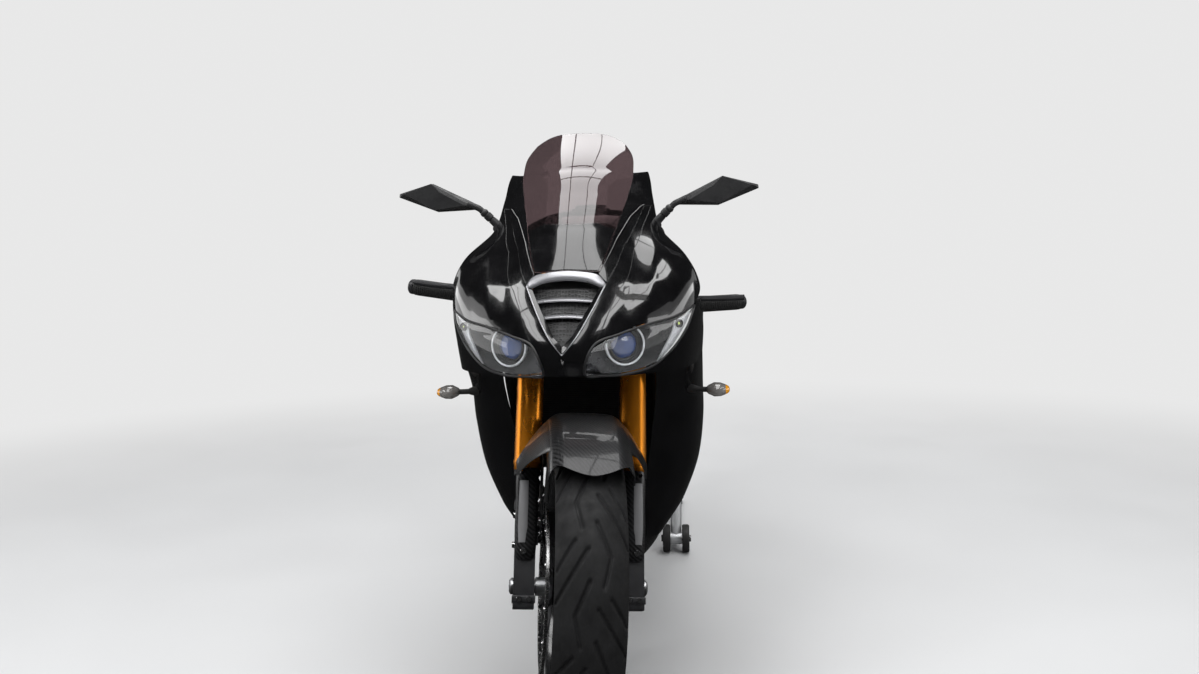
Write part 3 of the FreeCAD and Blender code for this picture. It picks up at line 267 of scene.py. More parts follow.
def lathe(profile, n=64, closed=True):
    """Turns an (x, radius) outline about the X axis."""
    angles = np.arange(n) * 2 * math.pi / n
    verts = [(x, -r * math.sin(t), r * math.cos(t)) for t in angles for x, r in profile]
    return np.array(verts), turned_faces(n, len(profile), closed)


def turned(profile, start, end, n=24):
    """Solid of revolution from start to end: profile of (share of the way, radius)."""
    a, b = Vector(start), Vector(end)
    along = b - a
    side = along.orthogonal().normalized()
    other = along.normalized().cross(side)
    rings = []
    for share, radius in profile:
        centre = a + along * share
        rings.append([centre + (side * math.cos(t) + other * math.sin(t)) * radius
                      for t in turns(n)])
    return loft(rings)


def rod(start, end, radius, n=24):
    return turned([(0, radius), (1, radius)], start, end, n)


def pipe(points, radius, n=12, count=None, smooth=True):
    """Round tube along a path; radius may be a list over the given points."""
    p = np.asarray(points, float)
    radii = np.full(len(p), float(radius)) if np.isscalar(radius) else np.asarray(radius, float)
    q = np.hstack([p, radii[:, None]])
    q = spline(q, count or 8 * len(p)) if smooth else q
    centre, radii = q[:, :3], q[:, 3]
    side = Vector(centre[1] - centre[0]).orthogonal().normalized()
    rings = []
    for k, c in enumerate(centre):
        along = Vector(centre[min(k + 1, len(centre) - 1)] - centre[max(k - 1, 0)]).normalized()
        side = (side - along * side.dot(along)).normalized()
        other = along.cross(side)
        rings.append([Vector(c) + (side * math.cos(t) + other * math.sin(t)) * radii[k]
                      for t in turns(n)])
    return loft(rings)


def rounded(outline, radius, n=4):
    """2-D corners softened by a curve of about that radius."""
    out = []
    p = np.asarray(outline, float)
    for k in range(len(p)):
        a, b, c = p[k - 1], p[k], p[(k + 1) % len(p)]
        r = min(radius, np.linalg.norm(a - b) * 0.45, np.linalg.norm(c - b) * 0.45)
        s = b + (a - b) / np.linalg.norm(a - b) * r
        e = b + (c - b) / np.linalg.norm(c - b) * r
        for t in np.linspace(0, 1, n + 1):
            out.append((1 - t) ** 2 * s + 2 * t * (1 - t) * b + t * t * e)
    return np.array(out)


AXES = {"x": (1, 2, 0), "y": (0, 2, 1), "z": (0, 1, 2)}


def plate(outline, low, high, axis="x", holes=()):
    """Flat outline with holes, drawn along an axis. X takes (y, z), Y takes (x, z) and Z takes (x, y)."""
    mesh = bmesh.new()
    loops = [np.asarray(outline, float)] + [np.asarray(h, float) for h in holes]
    edges = []
    for loop in loops:
        ring = [mesh.verts.new((u, v, 0)) for u, v in loop]
        edges += [mesh.edges.new((ring[k - 1], ring[k])) for k in range(len(ring))]
    bmesh.ops.triangle_fill(mesh, use_beauty=True, use_dissolve=False, edges=edges)
    flat = [(v.co.x, v.co.y) for v in mesh.verts]
    mesh.verts.index_update()
    tris = [[v.index for v in f.verts] for f in mesh.faces]
    border = [[e.verts[0].index, e.verts[1].index] for e in mesh.edges if len(e.link_faces) == 1]
    mesh.free()
    i, j, k = AXES[axis]
    verts = np.zeros((len(flat) * 2, 3))
    for level, value in enumerate((low, high)):
        part = slice(level * len(flat), (level + 1) * len(flat))
        verts[part, i], verts[part, j], verts[part, k] = *np.array(flat).T, value
    n = len(flat)
    faces = tris + [[a + n for a in t[::-1]] for t in tris] + [[a, b, b + n, a + n] for a, b in border]
    return verts, faces


def circle(y, z, radius, n=20):
    return [(y + radius * math.cos(t), z + radius * math.sin(t)) for t in turns(n)]


def hull(points):
    mesh = bmesh.new()
    for p in points:
        mesh.verts.new(p)
    made = bmesh.ops.convex_hull(mesh, input=mesh.verts)
    bmesh.ops.delete(mesh, geom=list(set(made["geom_interior"] + made["geom_unused"])), context="VERTS")
    bmesh.ops.dissolve_limit(mesh, angle_limit=0.02, verts=mesh.verts, edges=mesh.edges)
    mesh.verts.index_update()
    verts = np.array([v.co for v in mesh.verts])
    faces = [[v.index for v in f.verts] for f in mesh.faces]
    mesh.free()
    return verts, faces


def bolt(at, along, radius=5.0, height=5.0):
    """Socket-head cap screw whose head stands on a surface, with a recess in the head."""
    a, d = Vector(at), Vector(along).normalized()
    return turned([(0, radius), (0.75, radius), (1, radius * 0.86), (1, radius * 0.5), (0.45, radius * 0.5)],
                  a, a + d * height, 12)


def make(name, shape, surface, body, matrix=BIKE, slot=None, bevel=0.0, angle=35.0, segments=2, subdivide=0,
         replaces=()):
    """One Blender piece on a body, from a shape in millimetres."""
    verts, faces = placed(shape, matrix)
    mesh = bpy.data.meshes.new(name)
    mesh.from_pydata(verts.tolist(), [], faces)
    tidy = bmesh.new()
    tidy.from_mesh(mesh)
    bmesh.ops.remove_doubles(tidy, verts=tidy.verts, dist=1e-6)
    bmesh.ops.recalc_face_normals(tidy, faces=tidy.faces)
    tidy.to_mesh(mesh)
    tidy.free()
    mesh.shade_smooth()
    if not subdivide:
        mesh.set_sharp_from_angle(angle=math.radians(angle))
    piece = bpy.data.objects.new(name, mesh)
    bpy.context.scene.collection.objects.link(piece)
    mesh.materials.append(FINISH[surface] if isinstance(surface, str) else surface)
    if bevel:
        edge = piece.modifiers.new("edges", "BEVEL")
        edge.width = bevel * MM
        edge.segments = segments
        edge.limit_method = "ANGLE"
        edge.angle_limit = math.radians(angle)
        edge.harden_normals = True
    if subdivide:
        smooth = piece.modifiers.new("smooth", "SUBSURF")
        smooth.levels = smooth.render_levels = subdivide
    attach(piece, body)
    slot = slot or (surface if isinstance(surface, str) else None)
    if replaces:
        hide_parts(*([replaces] if isinstance(replaces, str) else replaces))
    return piece


# ---- upper bodywork, on one smooth surface through the source's sections

NOSE_LEVELS = [
    (700, -84, (75, -72), (140, -25), (200, 45), (226, 120), (236, 200)),
    (742, -112, (75, -88), (150, -28), (207, 42), (232, 120), (242, 200)),
    (800, -82, (75, -66), (155, -12), (213, 48), (238, 118), (246, 200)),
    (860, -38, (75, -24), (150, 22), (208, 62), (232, 104), (238, 128)),
    (910, 5, (60, 18), (120, 58), (172, 82), (205, 108), (211, 124)),
    (960, 55, (50, 66), (100, 104), (135, 132), (160, 162), (165, 180)),
    (1020, 118, (50, 130), (100, 172), (128, 196), (147, 215), (150, 225)),
    (1076, 185, (50, 196), (104, 232), (126, 248), (138, 262), (140, 268)),
    (1161, 306, (40, 312), (80, 332), (100, 346), (108, 356), (110, 360)),
]
SIDE_LEVELS = [
    (700, (150, 132), (206, 160), (236, 200), (247, 380), (240, 560)),
    (640, (150, 172), (208, 204), (238, 270), (248, 420), (243, 620)),
    (560, (140, 215), (206, 245), (242, 320), (248, 470), (242, 670)),
    (460, (126, 255), (190, 275), (228, 340), (238, 500), (228, 700)),
    (370, (108, 285), (160, 302), (194, 350), (208, 510), (196, 724)),
    (300, (88, 312), (126, 324), (150, 360), (168, 540), (155, 738)),
]


def cubic(p, t):
    """Catmull-Rom value at parameters t over the first axis of p."""
    p = np.concatenate([2 * p[:1] - p[1:2], p, 2 * p[-1:] - p[-2:-1]])
    t = np.clip(t, 0, len(p) - 3)
    i = np.minimum(t.astype(int), len(p) - 4)
    u = (t - i).reshape(t.shape + (1,) * (p.ndim - 1))
    a, b, c, d = p[i], p[i + 1], p[i + 2], p[i + 3]
    return 0.5 * (2 * b + (c - a) * u + (2 * a - 5 * b + 4 * c - d) * u ** 2 + (3 * b - a - 3 * c + d) * u ** 3)


class Skin:
    """Surface through rows of (x, y) sections at heights z, read by section place s and height z."""

    def __init__(self, levels, front_and_centre, ridge=None):
        self.z = np.array([row[0] for row in levels], float)
        first = [[(0.0, row[1])] if front_and_centre else [] for row in levels]
        self.table = np.array([f + list(row[2 if front_and_centre else 1:]) for f, row in zip(first, levels)], float)
        self.ridge = ridge
        self.centred = front_and_centre
        if self.z[0] > self.z[-1]:
            self.z, self.table = self.z[::-1], self.table[::-1]

    def at(self, s, z):
        """Points at section places s and heights z. A negative s is the mirrored side of the machine."""
        s, z = np.broadcast_arrays(np.asarray(s, float), np.asarray(z, float))
        rows = cubic(self.table, np.interp(z, self.z, np.arange(len(self.z))).ravel())
        count = rows.shape[1]
        flat = np.abs(s.ravel()) if self.centred else s.ravel()
        i = np.clip(flat.astype(int), 0, count - 2)
        u = (flat - i)[:, None]
        index = np.arange(len(flat))
        b, c = rows[index, i], rows[index, i + 1]
        first = c * (-1, 1) if self.centred else 2 * b - c
        a = np.where((i > 0)[:, None], rows[index, np.maximum(i - 1, 0)], first)
        d = np.where((i < count - 2)[:, None], rows[index, np.minimum(i + 2, count - 1)], 2 * c - b)
        xy = 0.5 * (2 * b + (c - a) * u + (2 * a - 5 * b + 4 * c - d) * u ** 2
                    + (3 * b - a - 3 * c + d) * u ** 3)
        if self.centred:
            xy[:, 0] *= np.where(s.ravel() < 0, -1, 1)
        p = np.column_stack([xy, z.ravel()])
        if self.ridge:
            p[:, 1] -= self.ridge(p[:, 0], p[:, 2])
        return p.reshape(s.shape + (3,))

    def front(self, *points):
        """(s, z) for front-view points (x, z)."""
        s = np.linspace(0, self.table.shape[1] - 1, 161)
        return [(math.copysign(np.interp(abs(x), self.at(s, z)[:, 0], s), x), z) for x, z in points]

    def normal(self, s, z):
        step = 0.02
        across = self.at(s + step, z) - self.at(s - step, z)
        up = self.at(s, z + 60 * step) - self.at(s, z - 60 * step)
        n = np.cross(across, up)
        return n / np.linalg.norm(n, axis=-1, keepdims=True)


def body_line(x, z):
    """Height of the crease that runs from the mirror foot down to the headlight's upper lid."""
    line = np.interp(z, [770, 787, 850, 921, 960], [132, 138, 152, 156, 146])
    fade = np.interp(z, [772, 800, 920, 985], [0, 1, 1, 0])
    return 5.0 * fade * np.clip(1 - np.abs(np.abs(x) - line) / 38.0, 0, 1)


NOSE = Skin(NOSE_LEVELS, True, body_line)
SIDE = Skin(SIDE_LEVELS, False)


S_SCALE = 50.0


def edge(points, count, smooth=False):
    """Border through (s, z) points, spread evenly."""
    p = np.asarray(points, float) * (S_SCALE, 1)
    return (spline(p, count) if smooth else even(p, count)) / (S_SCALE, 1)


def coons(low, high, left, right):
    """Grid of values between four borders that share their corners."""
    v = np.linspace(0, 1, len(left))[:, None, None]
    u = np.linspace(0, 1, len(low))[None, :, None]
    flat = (1 - v) * low[None] + v * high[None] + (1 - u) * left[:, None] + u * right[:, None]
    return flat - ((1 - v) * ((1 - u) * low[0] + u * low[-1]) + v * ((1 - u) * high[0] + u * high[-1]))


def shell(outer, inner):
    """Closed panel between an outer and an inner grid of points."""
    rows, cols = outer.shape[:2]
    n = rows * cols
    faces = []
    for r in range(rows - 1):
        for c in range(cols - 1):
            a = r * cols + c
            faces.append([a, a + 1, a + cols + 1, a + cols])
            faces.append([a + n, a + cols + n, a + cols + 1 + n, a + 1 + n])
    rim = (list(range(cols)) + [r * cols + cols - 1 for r in range(1, rows)]
           + [(rows - 1) * cols + c for c in range(cols - 2, -1, -1)] + [r * cols for r in range(rows - 2, 0, -1)])
    for a, b in zip(rim, rim[1:] + rim[:1]):
        faces.append([a, a + n, b + n, b])
    return np.vstack([outer.reshape(-1, 3), inner.reshape(-1, 3)]), faces


def panel(skin, low, high, left, right, rows=28, cols=28, lift=0.0, thick=3.0, swell=None, smooth=""):
    """Body panel over the part of a skin between four borders of (s, z) points."""
    low, high = edge(low, cols, "low" in smooth), edge(high, cols, "high" in smooth)
    left, right = edge(left, rows, "left" in smooth), edge(right, rows, "right" in smooth)
    left[0], left[-1], right[0], right[-1] = low[0], high[0], low[-1], high[-1]
    sz = coons(low, high, left, right)
    s, z = sz[..., 0], sz[..., 1]
    p, n = skin.at(s, z), skin.normal(s, z)
    v, u = np.meshgrid(np.linspace(0, 1, rows), np.linspace(0, 1, cols), indexing="ij")
    out = lift + (swell(u, v) if swell else 0.0) + 0 * u
    outer = p + n * out[..., None]
    return shell(outer, outer - n * thick)


def crown(height):
    """Swell that rises smoothly from all four borders."""
    return lambda u, v: height * (4 * u * (1 - u)) ** 0.6 * (4 * v * (1 - v)) ** 0.6


# Front-view lines (x, z) that the panels share
F = NOSE.front
SEAM = [(50, 752), (70, 790), (82, 822), (95, 850), (117, 920), (136, 975), (146, 1006)]
LID = [(50, 752), (93, 775), (124, 786), (176, 795), (206, 806), (230, 821)]
STRIP_OUT = [(71, 862), (98, 925), (120, 972), (134, 1008)]
STRIP_IN = [(57, 877), (84, 938), (108, 984), (126, 1004)]
V_RIM = [(0, 743), (24, 772), (48, 814), (70, 858)]
V_INNER = [(0, 758), (17, 776), (38, 814), (60, 855)]
LENS_LOW = [(36, 707), (70, 703), (105, 703), (150, 712), (186, 740), (212, 775), (226, 809)]
LENS_HIGH = [(53, 757), (96, 774), (146, 788), (190, 797), (225, 813)]
LENS_END = [(36, 707), (38, 725), (44, 745), (53, 757)]
SCREEN_SIDE = [(60, 881), (84, 960), (101, 1020), (111, 1076), (108, 1110), (92, 1138)]
SCREEN_HEAD = [(92, 1138), (56, 1157), (0, 1163), (-56, 1157), (-92, 1138)]


def on_both(name, shape, *args, **kwargs):
    """The same piece for the left and, mirrored, for the right."""
    make(name + "_left", shape, *args, **kwargs)
    kwargs.pop("replaces", None)
    make(name + "_right", mirrored(shape), *args, **kwargs)


cheek = panel(NOSE, F(*LID), F((146, 1006)) + [(5.0, 1012)], F(*SEAM),
              F((230, 821)) + [(4.6, 850), (5.0, 880), (5.0, 910), (5.0, 960), (5.0, 1012)],
              rows=56, cols=36, smooth="low", lift=0.6)
on_both("nose_cheek", cheek, "gloss_black", "root", bevel=1.2, replaces="nose_fairing")

centre = panel(NOSE, F((0, 703), (36, 703)), F((134, 1008), (146, 1006)),
               F((0, 703)) + F(*V_RIM) + F(*STRIP_OUT), F((36, 703), (46, 740)) + F(*SEAM),
               rows=80, cols=12, lift=0.2)
make("nose_centre", both(centre), "gloss_black", "root", bevel=1.0)
strip = panel(NOSE, F((57, 877), (71, 862)), F((126, 1004), (134, 1008)), F(*STRIP_IN), F(*STRIP_OUT),
              rows=40, cols=6, lift=2.4, thick=5.0)
make("screen_strips", both(strip), "gloss_black", "root", bevel=1.4)
lip = panel(NOSE, F((36, 706)) + [(0.5, 700)], F((230, 822)) + [(4.9, 824)], F((36, 706), (105, 701), (151, 710),
                                                                               (188, 738), (214, 773), (229, 812),
                                                                               (230, 822)), [(0.5, 700), (1.5, 700),
                                                                                             (2.5, 700), (3.6, 700),
                                                                                             (4.4, 700), (5.0, 701),
                                                                                             (5.0, 740), (5.0, 800),
                                                                                             (4.9, 824)], rows=70,
            cols=10, lift=0.4)
on_both("nose_lip", lip, "gloss_black", "root", bevel=1.2)
wing = panel(NOSE, F((60, 881), (62, 882)), F((111, 1073)) + [(4.5, 1076), (5.0, 1054)],
             F((60, 881), (84, 960), (101, 1020), (111, 1073)),
             F((62, 882), (86, 938), (110, 984), (128, 1004)) + [(4.7, 1009), (5.0, 1016), (5.0, 1054)],
             rows=48, cols=14, lift=0.6, smooth="high")
on_both("screen_wing", wing, "gloss_black", "root", bevel=1.0)
ear = plate(rounded([(196, 978), (228, 1018), (258, 1050), (298, 1054), (330, 1022), (330, 978), (292, 946),
                     (226, 940)], 26), 128, 140, "x")
on_both("ear", ear, "gloss_black", "root", bevel=4.0, segments=3)

# Screen over its black lower band
screen = panel(NOSE, F(*[(x, 881 + 3 * (1 - (x / 60) ** 2)) for x in (-60, -30, 0, 30, 60)]), F(*SCREEN_HEAD[::-1]),
               F(*[(-x, z) for x, z in SCREEN_SIDE]), F(*SCREEN_SIDE), rows=72, cols=60, thick=3.0,
               lift=1.0, smooth="left right high", swell=lambda u, v: 16 * np.sin(np.pi * u) * v ** 1.2 * (1.15 - v))
make("screen", screen, "screen_tint", "root", bevel=0.8, replaces="screen")
band = panel(NOSE, F((-57, 883), (0, 886), (57, 883)), F((-81, 956), (-50, 968), (0, 964), (50, 968), (81, 956)),
             F((-57, 883), (-81, 956)), F((57, 883), (81, 956)), rows=24, cols=36, lift=2.2, thick=1.2,
             swell=lambda u, v: 16 * np.sin(np.pi * u) * (0.3 * v) ** 1.2 * (1.15 - 0.3 * v))
make("screen_band", band, "gloss_black", "root", bevel=0.3)

# Grille: cap, V-shaped trim, two slats and the mesh
cap = panel(NOSE, F((-66, 854), (-40, 865), (0, 869), (40, 865), (66, 854)),
            F((-71, 859), (-57, 875), (-31, 881), (0, 883), (31, 881), (57, 875), (71, 859)),
            F((-66, 854), (-71, 859)), F((66, 854), (71, 859)), rows=10, cols=48, thick=6.0, lift=2.0,
            smooth="low high", swell=lambda u, v: 4 * (4 * v * (1 - v)) ** 0.7 * np.sin(np.pi * u) ** 0.4)
make("grille_cap", cap, "grille_silver", "root", bevel=1.2, replaces="grille")
trim = panel(NOSE, F((0, 743), (0, 758)), F((70, 858), (60, 855)), F(*V_RIM), F(*V_INNER), rows=40, cols=6,
             lift=3.0, thick=8.0, swell=lambda u, v: -5 * u)
trim = (trim[0], [f[::-1] for f in trim[1]])
make("grille_trim", both(trim), "gloss_black", "root", bevel=1.0)
rim_line = spline([NOSE.at(NOSE.front(p)[0][0], p[1]) - np.array((0, 2.2, 0)) for p in V_RIM], 60)
make("grille_rim_line", both(pipe([tuple(p) for p in rim_line], 1.2, 12, 60)), "grille_silver", "root")


def slat(half, z, rise):
    """Curved vane with a rounded leading edge."""
    rings = []
    for x in np.linspace(-half, half, 25):
        up = z + rise * (1 - (x / half) ** 2)
        y = NOSE.at(NOSE.front((abs(x), up))[0][0], up)[1] + 5.0
        rings.append([(x, y + a, up + b) for a, b in ((0, 0), (1, 2.2), (4, 3), (22, 5), (22, 2), (5, -2), (1, -1.8))])
    return loft(rings)


make("grille_slats", joined(slat(54, 829, 4), slat(37, 802, 3)), "grille_silver", "root", bevel=0.5)
mesh_back = panel(NOSE, F((-3, 750), (3, 750)), F((-63, 862), (63, 862)), F((-3, 750), (-18, 774), (-42, 814),
                                                                            (-63, 862)), F((3, 750), (18, 774),
                                                                                           (42, 814), (63, 862)),
                  rows=24, cols=24, lift=-14, thick=2)


def honeycomb(name, cell, hole):
    """Black punched mesh: hexagon holes, darker and deeper than the bars between them. The near black of the holes is
    painted shade of the hollow behind the mesh.
    """
    made = finish(name, (0.02, 0.02, 0.021), 0.45)
    tree = made.node_tree
    shader = tree.nodes["Principled BSDF"]
    cells = tree.nodes.new("ShaderNodeTexVoronoi")
    cells.feature = "DISTANCE_TO_EDGE"
    cells.inputs["Scale"].default_value = 1.0 / cell
    cells.inputs["Randomness"].default_value = 0.25
    tree.links.new(tree.nodes["Texture Coordinate"].outputs["Object"], cells.inputs["Vector"])
    # painted shade: hole centres are painted near black, the bars between them stay dark grey
    bars = ramp(tree, cells.outputs["Distance"], (0.018, 0.018, 0.019), (0.0005, 0.0005, 0.0005), hole, hole + 0.06)
    tree.links.new(bars, shader.inputs["Base Color"])
    height = ramp(tree, cells.outputs["Distance"], (1, 1, 1), (0, 0, 0), hole, hole + 0.1)
    bump(tree, shader, height, 0.002)
    return made


backing = panel(NOSE, F((-3, 748), (3, 748)), F((-68, 872), (0, 880), (68, 872)), F((-3, 748), (-30, 790), (-68, 872)),
                F((3, 748), (30, 790), (68, 872)), rows=12, cols=12, lift=-19, thick=2)
make("grille_backing", backing, "inner_black", "root")
make("grille_mesh", mesh_back, honeycomb("punched_mesh", 0.006, 0.12), "root")

# Headlights: clear lens, dark bowl with stepped ribs, ring, projector, position lamp and bright strip
LAMP = (103.0, -36.0, 753.0)


def lamp_depth(u, v):
    """How far the bowl lies behind the lens."""
    return -(9 + 44 * (4 * u * (1 - u)) ** 0.5 * (4 * v * (1 - v)) ** 0.5)


def bowl_shape():
    verts, faces = panel(NOSE, F(*LENS_LOW), F(*LENS_HIGH), F(*LENS_END), F((226, 809), (225, 813)),
                         rows=70, cols=110, swell=lamp_depth, thick=2.0, smooth="low high")
    away = np.hypot(verts[:, 0] - LAMP[0], verts[:, 2] - LAMP[2])
    ribs = np.clip((away - 46) / 6, 0, 1) * np.sin(away * 2 * math.pi / 7.5) * 0.9
    ribs *= np.clip((verts[:, 0] - 112) / 10, 0, 1)
    verts[:, 1] += ribs
    return verts, faces


def facing(shape, at, turn):
    """Places a shape turned about X so that its axis looks ahead and outwards."""
    matrix = Matrix.Translation(at) @ Matrix.Rotation(-math.pi / 2 + turn, 4, "Z")
    return placed(shape, matrix)


LAMP_TURN = math.radians(24)
ring = facing(lathe([(0, 34.0), (2.5, 33.6), (3.2, 35.2), (2.5, 37.0), (0, 37.4), (-4, 36.4)], 72), LAMP, LAMP_TURN)
bezel = facing(lathe([(-1, 33.6), (-9, 31.0), (-9, 26.5), (-2, 25.0), (-2, 27.5), (-6, 29.5), (0, 33.2)], 64), LAMP,
               LAMP_TURN)
ball = [(-14 + 16 * math.cos(t), 27.0 * math.sin(t)) for t in np.linspace(0.02, math.pi / 2, 14)]
glass = facing(lathe(ball + [(-16, 27.0), (-16, 0.3)], 64), LAMP, LAMP_TURN)
lens = panel(NOSE, F(*LENS_LOW), F(*LENS_HIGH), F(*LENS_END), F((226, 809), (225, 813)), rows=40, cols=72,
             lift=0.2, thick=2.0, smooth="low high", swell=crown(2.0))
bright = panel(NOSE, F((163, 717), (166, 720)), F((196, 790), (226, 806)), F((163, 717), (176, 742), (190, 768),
                                                                             (196, 790)), F((166, 720), (190, 744),
                                                                                            (211, 774), (226, 806)),
               rows=40, cols=10, lift=-6.0, thick=2.5)
socket = NOSE.at(NOSE.front((198, 784))[0][0], 784) + (0, 7, 0)
small = facing(lathe([(3, 7.5), (5, 7.0), (5, 5.5), (-2, 2.6), (-3, 2.6), (-3, 8)], 32), socket, LAMP_TURN * 1.6)
led = facing(lathe([(1.5, 0.2), (0.8, 2.0), (-1, 2.7), (-2, 2.7), (-2, 0.2)], 20), socket, LAMP_TURN * 1.6)
add_finish("lamp_bowl", (0.035, 0.035, 0.038), 0.24, 0.8, blotch=0.1)
add_finish("lamp_silver", (0.78, 0.79, 0.81), 0.3, 0.25, blotch=0.05, grain=0.00002)
add_finish("lamp_glass", (0.02, 0.055, 0.2), 0.04, Coat_Weight=1.0, Coat_Roughness=0.01, Specular_IOR_Level=0.9)
add_finish("led", (0.75, 0.85, 0.25), 0.3, Emission_Color=(0.75, 0.9, 0.2, 1), Emission_Strength=0.5)
on_both("lamp_bowl", bowl_shape(), "lamp_bowl", "root", slot="lens_clear")
on_both("lamp_ring", ring, "lamp_silver", "root", slot="grille_silver", bevel=0.3)
on_both("lamp_bezel", bezel, "inner_black", "root", slot="matte_plastic", bevel=0.3)
on_both("lamp_projector", glass, "lamp_glass", "root", slot="lens_clear")
on_both("lamp_strip", bright, "lamp_silver", "root", slot="grille_silver", bevel=0.6)
on_both("lamp_small", small, "inner_black", "root", slot="matte_plastic", bevel=0.3)
on_both("lamp_led", led, "led", "root", slot="lens_clear")
on_both("headlight", lens, "lens_clear", "root", bevel=0.5, replaces="headlights")
outline = LENS_LOW + LENS_HIGH[::-1]
rim_path = [NOSE.at(s, z) - (0, 0.4, 0) for s, z in F(*[tuple(p) for p in spline(outline, 90, True)])]
seal = pipe(rim_path + rim_path[:1], 2.3, 8, 180)
on_both("lamp_seal", seal, "matte_plastic", "root")

# Side panels, their shoulders and the belly pan
SHOULDER_LEVELS = [
    (700, (236, 201), (247, 380), (240, 560)),
    (745, (242, 201), (249, 360), (240, 520)),
    (797, (246, 201), (248, 330), (236, 460)),
]
SHOULDER = Skin(SHOULDER_LEVELS, False)
flank = panel(SIDE, [(0, 300), (4, 300)], [(0, 700), (2, 700), (4, 700)], [(0, 300), (0, 700)],
              [(4, 300), (4, 700)], rows=60, cols=44, lift=0.4, thick=3.5)
shoulder = panel(SHOULDER, [(0, 701), (2.0, 701)], [(0, 797), (0.2, 790), (0.6, 764), (1.6, 709), (2.0, 704)],
                 [(0, 701), (0, 797)], [(2.0, 701), (2.0, 704)], rows=20, cols=40, lift=0.4, thick=3.5)
for name, turn in SIDES:
    make("side_panel_" + name, turn(flank), "gloss_black", "root", bevel=1.4, replaces="side_fairing_" + name)
    make("side_shoulder_" + name, turn(shoulder), "gloss_black", "root", bevel=1.4)

BELLY = [(372, 120, 60, 226), (420, 144, 74, 204), (500, 157, 86, 193), (600, 160, 92, 190), (680, 158, 90, 194),
         (738, 152, 84, 205)]
BELLY_TOP = 299.0
rings = []
for y, top, keel, low in BELLY:
    mid = ((top + keel) / 2 + 16, (BELLY_TOP + low) / 2)
    half = spline([(top, BELLY_TOP), mid, (keel, low), (keel * 0.4, low - 4), (0, low - 5)], 14)
    inner = half - np.column_stack([np.full(14, 3.5), np.full(14, -3.5)])
    inner[0] = (half[0][0] - 3.5, BELLY_TOP)
    ring = [(x, y, z) for x, z in half] + [(-x, y, z) for x, z in half[-2::-1]]
    ring += [(-x, y, z) for x, z in inner] + [(x, y, z) for x, z in inner[-2::-1]]
    rings.append(ring)
rings = np.array(rings)
dense = cubic(rings.reshape(len(rings), -1), np.linspace(0, len(rings) - 1, 26)).reshape(26, -1, 3)
make("belly_pan", loft(dense), "gloss_black", "root", bevel=1.2, replaces="belly_fairing")


# ---- front end, on the steering body. Fork shapes are upright over the axle before FORK leans and turns them.

FORK_X = 101.0
DISC_X = 65


def on_fork(name, shape, *args, **kwargs):
    return make(name, both(shape), *args, "steering", matrix=FORK, **kwargs)


axis = lambda z: (FORK_X, 0, z)
outer_tube = turned([(0, 24.5), (0.008, 26), (0.03, 26), (0.032, 27.2), (0.05, 27.2), (0.052, 26), (0.52, 26),
                     (0.525, 26.3), (1, 26.3)], axis(214), axis(612), 48)
on_fork("fork_tubes", outer_tube, "fork_gold", replaces="fork_outer_tubes")
cap_top = joined(turned([(0, 25.5), (0.8, 25.5), (1, 24)], axis(612), axis(616), 48),
                 turned([(0, 12), (0.85, 12), (1, 10.5)], axis(616), axis(623), 6))
on_fork("fork_caps", cap_top, "fork_gold", bevel=0.5)
wiper = turned([(0, 23.5), (0.1, 25.2), (0.7, 25.2), (1, 24.5)], axis(204), axis(215), 40)
on_fork("fork_wipers", wiper, "rubber")
stanchion = turned([(0, 20.5), (1, 20.5)], axis(148), axis(216), 40)
on_fork("stanchions", stanchion, "bright_steel", slot="steel")


def casting():
    """Axle clamp with a foot below it, the tapered leg and two caliper lugs."""
    outline = rounded([(-25, -41), (23, -41), (27, -12), (26, 26), (44, 66), (46, 86), (38, 100), (44, 120), (46, 142),
                       (26, 150), (-22, 152), (-25, 118), (-22, 40)], 8)
    body = plate(outline, FORK_X - 19, FORK_X + 19, "x", [circle(0, 0, 15.5, 32)])
    foot = plate(rounded(rect(-27, 20, -30, -17), 3), FORK_X - 21, FORK_X + 21, "x")
    collar = turned([(0, 23), (0.7, 23), (1, 21.6)], axis(140), axis(158), 32)
    return joined(body, foot, collar)


on_fork("fork_castings", casting(), "cast_black", bevel=3.0, segments=3, replaces="fork_legs")
pinch = joined(*[bolt((FORK_X + dx, -27, -24), (0, -1, 0), 5.5, 6) for dx in (-9, 9)],
               *[bolt((FORK_X + 19, y, z), (1, 0, 0), 6, 5) for y, z in ((35, 78), (35, 134))])
on_fork("fork_bolts", pinch, "bright_steel", slot="steel")
axle = joined(turned([(0, 10), (0.012, 15), (0.03, 15), (0.03, 12.5), (0.97, 12.5), (0.97, 15), (0.988, 15), (1, 10)],
                     (-128, 0, 0), (128, 0, 0), 32),
              rod((53, 0, 0), (80, 0, 0), 17, 32), rod((-80, 0, 0), (-53, 0, 0), 17, 32))
make("front_spindle", axle, "bare_aluminium", "steering", matrix=FORK, bevel=0.6, replaces="front_axle")


def caliper():
    """Four-piston radial caliper: two halves that meet over the disc, and piston caps."""
    outline = rounded([(44, 108), (58, 92), (80, 82), (104, 86), (120, 98), (124, 128), (112, 148), (94, 158),
                       (60, 152), (44, 146)], 8)
    inner = plate(outline, DISC_X - 30, DISC_X - 9, "x")
    outer = plate(outline, DISC_X + 9, DISC_X + 33, "x")
    over = plate(rounded([(104, 88), (122, 100), (126, 128), (112, 148), (108, 140), (118, 124), (114, 104),
                          (100, 94)], 3), DISC_X - 12, DISC_X + 12, "x")
    caps = [turned([(0, 15), (0.8, 15), (1, 13)], (DISC_X + s * 31, y, z), (DISC_X + s * 36, y, z), 32)
            for s in (1, -1) for y, z in ((72, 134), (96, 112))]
    return joined(inner, outer, over, *caps)


